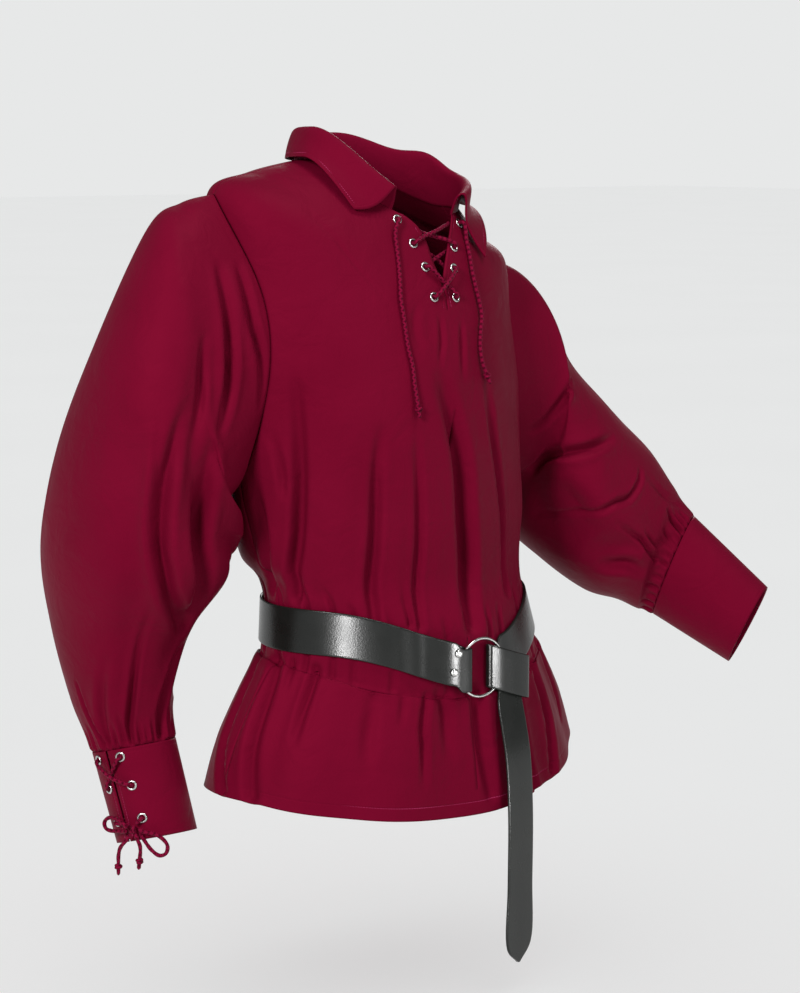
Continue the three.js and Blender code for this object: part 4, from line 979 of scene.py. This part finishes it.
# Small pleats at the belt: angle, reach above and below it in ring numbers, and depth.
BELT_PLEATS = [
    (-104, 0.7, 0.5, 2.5), (-88, 0.5, 0.3, 2), (-71, 0.4, 0.6, 2.5), (-58, 0.6, 0.3, 2.2),
    (-49, 0.3, 0.5, 1.8), (-33, 0.5, 0.2, 1.6), (-10, 0.4, 0.3, 1.8), (12, 0.6, 0.5, 2.6),
    (20, 0.4, 0.3, 2), (37, 0.5, 0.7, 2.6), (46, 0.3, 0.4, 2), (57, 0.7, 0.4, 2.8),
    (69, 0.4, 0.6, 2.2), (84, 0.6, 0.5, 2.6), (101, 0.4, 0.3, 2), (109, 0.7, 0.6, 2.8),
    (124, 0.4, 0.5, 2), (138, 0.6, 0.3, 2.6), (151, 0.4, 0.6, 2.2), (160, 0.7, 0.4, 2.4),
    (176, 0.5, 0.5, 2.6), (193, 0.4, 0.3, 2), (199, 0.6, 0.6, 2.4), (214, 0.4, 0.4, 2.2),
    (228, 0.7, 0.5, 2.8), (234, 0.4, 0.3, 1.8), (249, 0.6, 0.5, 2.4),
]
for angle, above, below, deep in BELT_PLEATS:
    BODY_CREASES.append((4.2, [(angle, 4 + above, 0), (angle, 4.05, deep), (angle, 3.8, deep)]))
    BODY_CREASES.append((4.8, [(angle + 1, 3 - below, 0), (angle, 2.9, deep), (angle, 3.3, deep)]))

# Creases of the sleeves in the same way, with angles round the sleeve.
SLEEVE_CREASES = {
    "right": [
        # The deep fall from the armhole down the inner front.
        (8, [
            (56, 0.6, 0), (66, 0.64, 4), (80, 0.66, 8), (98, 0.72, 10), (110, 0.82, 8),
            (118, 1.05, 3), (121, 1.4, 0),
        ]),
        (13, [
            (118, 2.1, 0), (113, 2.8, 4), (107, 3.5, 8), (101, 4, 10), (96, 4.6, 9),
            (100, 5.3, 5), (108, 5.9, 0),
        ]),
        (7, [(58, 0.28, 0), (70, 0.32, 5), (84, 0.32, 7), (100, 0.2, 7), (116, 0.14, 2)]),
        (7, [(82, 1.05, 0), (100, 2, 4), (101, 2.8, 0)]),
        (11, [
            (88, 2.5, 0), (82, 3.1, 5), (75, 3.6, 9), (70, 4.2, 11), (68, 4.7, 11),
            (76, 5.3, 9), (104, 5.9, 4),
        ]),
        (7, [(70, 3, 0), (68, 3.7, 3), (64, 4.4, 3), (66, 5.2, 0)]),
        (5, [(67, 5.4, 0), (66, 6.2, 3), (64, 7, 5), (54, 7.95, 4)]),
        (8, [(116, 6.2, 0), (108, 6.9, 5), (99, 7.95, 5)]),
        (7, [(42, 6.2, 0), (30, 7, 3), (22, 7.9, 3)]),
        (3.2, [(4, 6.7, 1), (9, 7.4, 4), (15, 7.98, 4)]),  # the slit's placket
        # The outer back and the side that faces the body.
        (12, [(262, 1, 0), (258, 2.4, 7), (250, 3.8, 9), (246, 5.2, 4), (248, 6, 0)]),
        (10, [(300, 1.6, 0), (292, 3, 5), (288, 4.6, 8), (292, 6.2, 5), (298, 7.6, 2)]),
        (9, [(225, 1.2, 0), (222, 2.6, 6), (218, 4.2, 8), (226, 5.8, 4)]),
        (8, [(330, 2.6, 0), (334, 4, 3), (330, 5.4, 4), (322, 7, 3), (318, 7.95, 2)]),
        (10, [(190, 1, 0), (182, 2.2, 6), (176, 3.6, 8), (184, 5, 5), (194, 6.2, 0)]),
    ],
    "left": [
        # Across the crook of the raised arm.
        (6, [
            (132, 0.45, 0), (124, 0.75, 3), (110, 1.1, 4), (92, 1.7, 4), (80, 2.1, 2.5),
            (72, 2.4, 0),
        ]),
        (7.5, [
            (160, 1.9, 0), (144, 2.1, 4), (116, 2.4, 6), (95, 2.9, 6.5), (74, 3.45, 7),
            (56, 3.9, 6), (36, 4.4, 0),
        ]),
        (24, [(102, 3.2, 0), (102, 3.8, 6), (106, 4.6, 0)]),
        (5, [
            (142, 3.15, 0), (126, 3.5, 1.5), (110, 3.85, 2), (78, 4.75, 3.5), (64, 5.4, 4),
            (48, 5.7, 3), (38, 5.6, 0),
        ]),
        (4.5, [(86, 4.9, 0), (88, 6, 3), (86, 6.6, 5), (90, 7.6, 3)]),
        (3.5, [(78, 6.4, 0), (78, 7, 3.5), (78, 7.6, 0)]),
        (4, [(40, 7.1, 0), (43, 7.6, 4), (46, 7.95, 2)]),
        (3.5, [(58, 7.3, 0), (62, 7.7, 3), (64, 7.95, 2)]),
        (11, [(121, 4.8, 0), (114, 5.8, 6), (105, 7.2, 0)]),
        (6, [(40, 6, 0), (32, 6.9, 2.5), (12, 7.9, 0)]),
        # The back of the arm.
        (9, [(300, 1.2, 0), (296, 2.2, 5), (286, 3.4, 7), (276, 4.6, 3)]),
        (8, [(262, 1.6, 0), (254, 2.8, 6), (246, 4.2, 7), (240, 5.6, 3)]),
        (7, [(322, 2.4, 0), (316, 3.8, 4), (308, 5.2, 5), (306, 6.8, 3), (304, 7.95, 2)]),
        (10, [(222, 1, 0), (214, 2.2, 6), (206, 3.4, 6), (202, 4.8, 2)]),
        (6, [(340, 3.2, 0), (346, 4.4, 3), (344, 5.8, 3), (340, 7, 0)]),
    ],
}

# Gathers of a sleeve into its cuff: angle, reach in ring numbers, and depth.
CUFF_GATHERS = [
    (26, 0.35, 2.5), (36, 0.6, 3), (47, 0.8, 3.4), (58, 0.3, 2), (69, 0.6, 3), (79, 0.35, 2.2),
    (88, 0.55, 3.4), (104, 0.4, 2.6), (117, 0.7, 3.2), (128, 0.35, 2), (141, 0.6, 3),
    (156, 0.45, 2.6), (168, 0.75, 3.4), (181, 0.3, 2), (194, 0.6, 3), (209, 0.5, 2.6),
    (221, 0.8, 3.4), (236, 0.35, 2.2), (247, 0.65, 3), (262, 0.45, 2.4), (276, 0.7, 3.2),
    (289, 0.4, 2.2), (307, 0.6, 3), (319, 0.35, 2), (331, 0.7, 3.2), (345, 0.45, 2.4),
    (357, 0.6, 2.6),
]
for creases in SLEEVE_CREASES.values():
    for angle, reach, deep in CUFF_GATHERS:
        foot = (angle - 1, CUFF_SEAM - 0.03, deep)
        creases.append((3.4, [(angle, CUFF_SEAM - reach, 0), foot]))

# ---------------------------------------------------------------- front and back

HEM_STITCH = 14  # from the hem's edge to its stitches
SLIT_STITCH = 5  # from the neck slit's edges to their stitches
NO_STITCH = 99  # for cloth that has no stitches near
ROLL = 1.8  # over which the cloth rolls into a seam
SKIRT_FALL = 4.5  # from the form to the skirt that comes out from under the belt

# Ring numbers of the rows of both panels. At the armhole they match the sleeve's head.
body_rows = np.concatenate([
    np.linspace(0, 3, 50)[:-1],
    np.linspace(3, 4, 18)[:-1],
    np.linspace(4, 7, 52)[:-1],
    armhole_ring(np.linspace(1, 0, 72))[:-1],
    np.linspace(10, 12, 30),
])
SLIT_SEARCH = {"right": (-60.0, 8.0), "left": (-12.0, 75.0)}  # angles that each edge is between


def slit_angles(side, rows):
    """Angle of the neck slit's right or left edge at each ring number, by halving."""
    widths = SLIT_OUTLINE[:, 1 if side == "right" else 2]
    first, last = SLIT_SEARCH[side]
    low, high = np.full(len(rows), first), np.full(len(rows), last)
    for _ in range(30):
        middle = (low + high) / 2
        p = body_surface(middle, rows)
        at = np.interp(p[:, 2], SLIT_OUTLINE[:, 0], np.arange(len(SLIT_OUTLINE)))
        wide = np.where(p[:, 2] < SLIT_OUTLINE[0, 0], 0, column(widths, at))
        beyond = p[:, 0] > SLIT_X + SIGN[side] * np.maximum(wide, 0)
        high = np.where(beyond, middle, high)
        low = np.where(beyond, low, middle)
    return (low + high) / 2


def skirt_fall(rows):
    """How far the skirt stands off its form where it comes out from under the belt."""
    return SKIRT_FALL * np.interp(
        rows, [0.8, 1.2, 1.6, 2.05, 2.4, 2.7, 2.92], [0, 0.25, 0.7, 1, 0.8, 0.35, 0]
    )


def seam_roll(distance):
    """How far the cloth turns in towards a seam."""
    return 0.5 * np.exp(-((distance / ROLL) ** 2))


def panel_grid(first, last, columns):
    """Grid of points of a panel between its first and last angle at each body row."""
    across = np.linspace(0, 1, columns)[None, :]
    angle = first[:, None] * (1 - across) + last[:, None] * across
    return grid_points(body_surface, angle, body_rows[:, None])


def dress_panel(points, slit=None):
    """Presses the creases and rolls a panel's sewn edges in. Gives points, uv and edge. A half
    of the front has the neck slit, in place of a side seam, at its first or its last column."""
    normals = grid_normals(points)
    uv = cloth_coordinates(points)
    from_first, from_last, from_hem, from_neck = edge_distances(uv)
    from_slit = {"first": from_first, "last": from_last}.get(slit)
    # The armhole's seam holds the cloth, from a fifth of a ring inside both of its ends.
    held = np.clip((body_rows - UNDERARM) * 5, 0, 1) * np.clip((SHOULDER - body_rows) * 5, 0, 1)
    slack, roll = slack_from(from_neck), 0
    for away in (from_first, from_last):
        if away is not from_slit:
            slack = slack * (1 - held[:, None] * (1 - slack_from(away)))
            roll = roll + seam_roll(away)
    points = press_creases(points, normals, body_surface, BODY_CREASES, slack)
    points = points + normals * skirt_fall(body_rows)[:, None, None]
    points = points - normals * roll[..., None]
    edge = np.abs(from_hem - HEM_STITCH)
    if slit:
        above = points[..., 2] > SLIT_OUTLINE[0, 0] + 2
        slit_edge = np.where(above, np.abs(from_slit - SLIT_STITCH), NO_STITCH)
        edge = np.minimum(edge, slit_edge)
    return points, uv, edge


half = panel_edge("front", body_rows)
gap = np.degrees(SEWN_GAP / 2 / column(BODY_RINGS[:, 2], body_rows))
right_half = panel_grid(-half + gap, slit_angles("right", body_rows), 82)
left_half = panel_grid(slit_angles("left", body_rows), half - gap, 82)
cloth_piece(
    "front_panel", "front", CLOTH, "hung",
    dress_panel(right_half, slit="last"), dress_panel(left_half, slit="first"),
)
half = 180 - panel_edge("back", body_rows)
whole = panel_grid(180 - half + gap, 180 + half - gap, 112)
cloth_piece("back_panel", "back", CLOTH, "hung", dress_panel(whole))

# ---------------------------------------------------------------- sleeves and cuffs

# The crook of the raised left arm: its place and reach in loop numbers and in degrees.
CROOK = {"loop": 2.5, "loops": 0.9, "angle": 50, "degrees": 56}
EASE_ROUNDS = 420  # each takes the cloth there half of the way to between its neighbours


def ease_crook(points, phi, t):
    """Lets out the sharp fold of the form at the crook of the arm."""
    along = (t - CROOK["loop"]) / CROOK["loops"]
    round_arm = (phi - CROOK["angle"]) / CROOK["degrees"]
    share = np.exp(-(along**2) - round_arm**2)[1:-1, :, None]
    for _ in range(EASE_ROUNDS):
        middle = (points[2:] + points[:-2]) / 2
        points[1:-1] += 0.5 * share * (middle - points[1:-1])


for side, flip in SIGN.items():
    surface = partial(sleeve_surface, side)
    phi, t = np.linspace(0, 360, 193)[None, :], np.linspace(0, CUFF_SEAM, 165)[:, None]
    points = grid_points(surface, phi, t)
    if side == "left":
        ease_crook(points, phi, t)
    normals = grid_normals(points, wrap=True, flip=flip)
    uv = cloth_coordinates(points)
    _, _, from_armhole, from_cuff = edge_distances(uv)
    slack = slack_from(from_armhole) * slack_from(from_cuff, 2.5)
    points = press_creases(points, normals, surface, SLEEVE_CREASES[side], slack)
    points = points - normals * (seam_roll(from_armhole) + seam_roll(from_cuff))[..., None]
    points[:, -1] = points[:, 0]
    grid = (points, uv, np.full(points.shape[:2], float(NO_STITCH)))
    cloth_piece(f"sleeve_cloth_{side}", f"sleeve_{side}", CLOTH, "gathered", grid, flip=flip < 0)

CUFF_STITCH = 4  # from a cuff's edges to its stitches
for side, flip in SIGN.items():
    start = CUFF_SLIT[side] + CUFF_OPENING[side] / 2
    phi = np.linspace(start, start + 360 - CUFF_OPENING[side], 131)
    down = np.linspace(0.005, 1, 40)[:, None]
    points = grid_points(partial(cuff_point, side, out=0.0), phi, down)
    uv = cloth_coordinates(points)
    edge = np.abs(np.minimum.reduce(edge_distances(uv)) - CUFF_STITCH)
    grid = (points, uv, edge)
    cloth_piece(f"cuff_band_{side}", f"cuff_{side}", BAND, "folded", grid, flip=flip < 0)

# ---------------------------------------------------------------- collar

TUCK = 2.2  # that the stand's lower edge goes down inside the neckline, where it is sewn
COLLAR_STITCH = 5  # from the collar's ends and its leaf's edge to its stitches
rows = np.linspace(0, len(COLLAR_RINGS) - 1, 90)
start = column(COLLAR_RINGS[:, 13], rows)[:, None]
stop = 360 - column(COLLAR_RINGS[:, 12], rows)[:, None]
across = np.linspace(0, 1, 181)
points = grid_points(collar_surface, start * (1 - across) + stop * across, rows[:, None])
points[0, :, 2] -= TUCK
uv = cloth_coordinates(points)
first_end, last_end, _, leaf_edge = edge_distances(uv)
edge = np.abs(np.minimum.reduce([leaf_edge, first_end, last_end]) - COLLAR_STITCH)
cloth_piece("collar_cloth", "collar", BAND, "folded", (points, uv, edge))

# ---------------------------------------------------------------- eyelets, ring and rivets


def lathe(name, node, spot, profile, steps):
    """Spins a nickel profile of (radius, height) round the outward direction at a spot."""
    point, normal = spot
    bm = bmesh.new()
    verts = [bm.verts.new((x, 0, z)) for x, z in profile]
    edges = [bm.edges.new(pair) for pair in zip(verts, verts[1:])]
    bmesh.ops.spin(
        bm, geom=verts + edges, cent=(0, 0, 0), axis=(0, 0, 1), angle=2 * math.pi,
        steps=steps, use_merge=True,
    )
    turn = Vector((0, 0, 1)).rotation_difference(Vector(normal)).to_matrix().to_4x4()
    bmesh.ops.transform(bm, matrix=Matrix.Translation(Vector(point)) @ turn, verts=bm.verts)
    weld(bm, 0.005)
    bmesh.ops.recalc_face_normals(bm, faces=bm.faces)
    return finish_piece(bm, name, NICKEL, node)


def spot_of(at):
    """A point on the cloth and its outward direction, from a function of mm out."""
    point = at(0.0)[0]
    return point, unit(at(1.0)[0] - point)


def body_point(angle, t, out):
    normal = normal_of(body_surface, np.array([angle]), np.array([t], float))
    return body_surface([angle], [t]) + normal * out


EYELET_PROFILE = [
    (3.2, -2.6), (3.7, -2.6), (3.7, 0.4), (5.4, 0.4), (5.6, 0.55), (5.45, 0.95), (5.0, 1.4),
    (4.4, 1.6), (3.8, 1.55), (3.35, 1.3), (3.2, 0.9), (3.2, -2.6),
]


def rolled_eyelet(node, at):
    lathe(f"{node}_rolled", node, spot_of(at), EYELET_PROFILE, 28)


for number, pair in enumerate(NECK_EYELETS, start=1):
    for side, place in zip(SIGN, pair):
        rolled_eyelet(f"eyelet_neck_{side}_{number}", partial(body_point, *place))
for side in SIGN:
    for number, (a, b, f) in enumerate(CUFF_EYELETS, start=1):
        for letter, turn in (("a", a), ("b", b)):
            node = f"eyelet_cuff_{side}_{letter}{number}"
            rolled_eyelet(node, partial(laced_point, side, [turn], [f]))

# ---------------------------------------------------------------- belt


def body_at_height(angle, z):
    """Points of the body under the belt at heights z, by halving."""
    angle, z = arrays(angle, z)
    low, high = np.zeros(angle.shape), np.full(angle.shape, float(UNDERARM))
    for _ in range(22):
        middle = (low + high) / 2
        under = body_surface(angle, middle)[:, 2] < z
        low, high = np.where(under, middle, low), np.where(under, high, middle)
    return body_surface(angle, low)


def belt_top(angle):
    ahead = np.maximum(np.cos(np.radians(angle - BELT_LOW_ANGLE)), 0)
    return BELT_SIDE_Z - BELT_DIP * ahead**BELT_DIP_POWER


def belt_point(angle, z, out):
    """Points over the belt's line at angles and heights, moved out from the shirt."""
    angle, z, out = arrays(angle, z, out)
    foot = np.full(angle.shape, float(BELT_FOOT))
    ahead = body_surface(angle + 0.5, foot) - body_surface(angle - 0.5, foot)
    outward = unit(np.stack([ahead[:, 1], -ahead[:, 0], np.zeros(len(ahead))], axis=-1))
    return body_at_height(angle, z) + outward * out[:, None]


FLAT_OUT = STRAP_REST + STRAP / 2  # middle of a strap that lies on the shirt
LAID_OUT = FLAT_OUT + STRAP + 0.3  # middle of a strap that lies on another one
TURN_RADIUS = RING_WIRE + 0.35 + STRAP / 2  # middle of a strap that bends round the wire
TURN_OFFSET = 19.6 / MM_PER_DEGREE  # degrees from the ring's centre to the riveted bend
WRAP_OFFSET = 15.4 / MM_PER_DEGREE  # degrees from the ring's centre to the wrap's bend
FOLD_TOP = -512  # height of the strap's upper edge at the ring
WRAP_TOP = -513  # height of the wrap's upper edge at the ring
WRAP_SLOPE = 1.05  # mm that the wrap goes down per degree
FOLD_OUT = 12.4  # middle of the riveted fold's outer layer
FRONT_RADIUS = 220  # of the shirt's curve behind the ring


def half_turn(angle, out, radius, bulge):
    """Half a turn round a centre, from behind it to in front of it, as (angle, out) rows."""
    turn = np.radians(np.linspace(-90, 90, 7))
    return [
        (angle + bulge * radius * math.cos(a) / MM_PER_DEGREE, out + radius * math.sin(a))
        for a in turn
    ]


def lifted(rows):
    """Rows that stand off the round shirt as the flat ring does."""
    return [
        (a, out + ((a - RING_ANGLE) * MM_PER_DEGREE) ** 2 / (2 * FRONT_RADIUS)) for a, out in rows
    ]


# Rows of the strap from its riveted end to its wrap: body angle, out from the shirt, and the
# height of the upper edge, or None where that follows the belt's line.
ring_end = [
    *((a, FLAT_OUT, None) for a in (-21, -14, -9)),
    *((a, out, FOLD_TOP) for a, out in
      lifted(half_turn(RING_ANGLE - TURN_OFFSET, RING_OUT, TURN_RADIUS, 1))),
    (-6.5, 11.6, FOLD_TOP + 1), (-9, FOLD_OUT, None), (-12, 12, None), (-16, 9.6, None),
    (-20, LAID_OUT + 0.6, None), (-24, LAID_OUT, None),
]
around_waist = [(a, FLAT_OUT, None) for a in np.linspace(-30, -343, 78)]  # about every 4 degrees
wrap_rows = [
    (a, out, WRAP_TOP - WRAP_SLOPE * (a - RING_ANGLE - WRAP_OFFSET))
    for a, out in [
        (12.8, FLAT_OUT + 2),
        *lifted(half_turn(RING_ANGLE + WRAP_OFFSET, RING_OUT, TURN_RADIUS, -1)),
        (12.5, 12.4), (16, 14), (20, 15.8), (24, 17),
        *half_turn(27, 13, 4.4, 1)[:0:-1],
    ]
]


def belt_spot(angle, z, out):
    """A point in front of the belt's line, and its outward direction."""
    return spot_of(lambda more: belt_point([angle], [z], [out + more]))


def strap_edges(rows):
    """Upper and lower edge lines of a strap through (angle, out, top) rows."""
    angle, out, own = np.array(rows, float).T  # None becomes nan
    line = belt_top(angle)
    top = np.where(np.isnan(own), line, own)
    upper = belt_point(angle, top, out)
    hung = upper - np.array([0, 0, STRAP_WIDTH])
    lower = np.where(np.isnan(own)[:, None], belt_point(angle, line - STRAP_WIDTH, out), hung)
    return upper, lower


def leather_strap(name, node, first_edge, second_edge, per_span=4):
    """A leather strap with rounded edges between two edge lines."""
    first, second = smooth_route(first_edge, per_span), smooth_route(second_edge, per_span)
    middle = (first + second) / 2
    normal = unit(np.cross(np.gradient(middle, axis=0), second - first))
    width = np.linalg.norm(second - first, axis=1)
    # The section goes down one face and up the other, with a rounded corner at each edge. Its
    # first quarter is (distance from the edge, height), and it is narrower where the strap is.
    half, corner = STRAP / 2, 1.0
    quarter = [
        (corner - corner * math.cos(b), half - corner + corner * math.sin(b))
        for b in np.radians([0, 30, 60, 90])
    ] + [(x, half) for x in np.linspace(3, STRAP_WIDTH / 2, 6)]
    points = []
    for a, b, n, w in zip(first, second, normal, width):
        near = [(x * min(1, w / STRAP_WIDTH), y) for x, y in quarter]
        loop = near + [(w - x, y) for x, y in near[::-1][1:]]
        loop += [(w - x, -y) for x, y in near[1:]] + [(x, -y) for x, y in near[::-1][1:]]
        loop.append(loop[0])
        points.append([a + (b - a) / w * x + n * y for x, y in loop])
    points = np.array(points)
    # Wear goes by the last section, so a strap that ends in a point is rubbed all over.
    from_edge = np.array([min(x, w - x) for x, y in loop])
    bm = bmesh.new()
    lay_grid(bm, points, cloth_coordinates(points), np.broadcast_to(from_edge, points.shape[:2]))
    weld(bm)
    bmesh.ops.holes_fill(bm, edges=[e for e in bm.edges if e.is_boundary])
    bmesh.ops.recalc_face_normals(bm, faces=bm.faces)
    return finish_piece(bm, name, LEATHER, node)


upper, lower = strap_edges([*ring_end, *around_waist, *wrap_rows])
polished_pieces = [leather_strap("belt_leather", "belt_strap", upper, lower)]

# Middle line of the hanging end: height, x, y and half width.
TAIL_ROWS = [
    (-560, 67, -155, 17), (-566, 67, -156, 18), (-580, 66, -160, 22), (-605, 65, -168, 23),
    (-640, 64, -177, 23), (-700, 62, -184, 23), (-780, 61, -185, 23), (-850, 60, -185, 22),
    (-869, 59, -185, 1.5),
]
TAIL_TURN = math.radians(15)  # that the tail's face is turned to the wearer's left
turned = np.array([math.cos(TAIL_TURN), math.sin(TAIL_TURN), 0])
height, x, y, half = np.array(TAIL_ROWS, float).T
middle, reach = np.stack([x, y, height], axis=-1), turned * half[:, None]
polished_pieces.append(
    leather_strap("belt_tail_leather", "belt_tail", middle + reach, middle - reach, per_span=8)
)

wire = [
    (RING_RADIUS + RING_WIRE * math.cos(a), RING_WIRE * math.sin(a))
    for a in np.linspace(0, 2 * math.pi, 17)
]
ring_spot = belt_spot(RING_ANGLE, RING_Z, RING_OUT)
polished_pieces.append(lathe("ring_wire", "belt_ring", ring_spot, wire, 96))

RIVET_OUT = FOLD_OUT + STRAP / 2 + SEAM  # foot of the rivets' domes
DOME = [
    (4.5, -0.3), (4.5, 0.3), (4.35, 0.8), (3.9, 1.3), (3.1, 1.8), (2.0, 2.15), (0.9, 2.28),
    (0, 2.3),
]
for node, angle, z in (("rivet_upper", -8.6, -515), ("rivet_lower", -10.4, -535)):
    spot = belt_spot(angle, z, RIVET_OUT)
    polished_pieces.append(lathe(f"{node}_dome", node, spot, DOME, 28))

# ---------------------------------------------------------------- floor and light

FLOOR_Z = -0.9
WALL_COLOUR = linear("#e7e8e8")


def collection_of(name, *things):
    """A collection of objects that a light shines on."""
    made = bpy.data.collections.new(name)
    for thing in things:
        made.objects.link(thing)
    return made


bm = bmesh.new()
bmesh.ops.create_grid(bm, x_segments=1, y_segments=1, size=30)
bmesh.ops.translate(bm, vec=(0, 0, FLOOR_Z), verts=bm.verts)
mesh = bpy.data.meshes.new("floor")
bm.to_mesh(mesh)
bm.free()
floor = bpy.data.objects.new("floor", mesh)
floor.data.materials.append(painted_floor())
bpy.context.scene.collection.objects.link(floor)

all_but_floor = collection_of("all but the floor", floor)
all_but_floor.collection_objects[0].light_linking.link_state = "EXCLUDE"
polished = collection_of("polished parts", *polished_pieces)
# Name, place, aim, size, power, and what it lights. The two low boxes are for the highlights
# on the polished parts.
SOFTBOXES = [
    ("key", (-3.7, -1.7, 1.5), (0, 0, -0.3), (1.0, 1.4), 172, all_but_floor),
    ("fill", (0.2, -3.8, 0.6), (0, 0, -0.4), (1.0, 1.6), 28, all_but_floor),
    ("top", (0.3, -1.5, 2.9), (0, 0, -0.2), (1.2, 1.2), 62, all_but_floor),
    ("back", (2.6, 2.4, 1.2), (0, 0, -0.3), (1.4, 1.8), 60, all_but_floor),
    ("low left", (-1.35, -1.15, -0.76), (-0.16, -0.11, -0.5), (0.22, 0.16), 24, polished),
    ("low front", (0.62, -1.6, -0.78), (-0.03, -0.17, -0.53), (0.3, 0.16), 22, polished),
]
for name, place, aim, size, power, lit in SOFTBOXES:
    lamp = bpy.data.lights.new(name, "AREA")
    lamp.shape = "RECTANGLE"
    lamp.size, lamp.size_y = size
    lamp.energy = power
    light = bpy.data.objects.new(name, lamp)
    light.location = place
    light.rotation_euler = (Vector(aim) - Vector(place)).to_track_quat("-Z", "Y").to_euler()
    light.light_linking.receiver_collection = lit
    bpy.context.scene.collection.objects.link(light)

# The floor has a light of its own, so that it is as pale as the room behind it.
wash = bpy.data.lights.new("floor wash", "SUN")
wash.energy = 2.12
wash.angle = math.radians(80)
wash.use_shadow = False
floor_wash = bpy.data.objects.new("floor_wash", wash)
floor_wash.location = (0, 0, 4)
floor_wash.light_linking.receiver_collection = collection_of("floor only", floor)
bpy.context.scene.collection.objects.link(floor_wash)

# The camera sees a pale wall, and the cloth is lit by a dimmer room.
world = bpy.data.worlds.new("studio")
world.use_nodes = True
tree = world.node_tree
tree.nodes.clear()
seen = add_node(tree, "ShaderNodeLightPath").outputs["Is Camera Ray"]
room, wall = (
    add_node(tree, "ShaderNodeBackground", {"Color": WALL_COLOUR, "Strength": strength}).outputs[0]
    for strength in (0.2, 1.0)
)
studio = add_node(tree, "ShaderNodeMixShader", {0: seen, 1: room, 2: wall})
add_node(tree, "ShaderNodeOutputWorld", {"Surface": studio.outputs[0]})
bpy.context.scene.world = world
bpy.context.scene.view_settings.view_transform = "Standard"
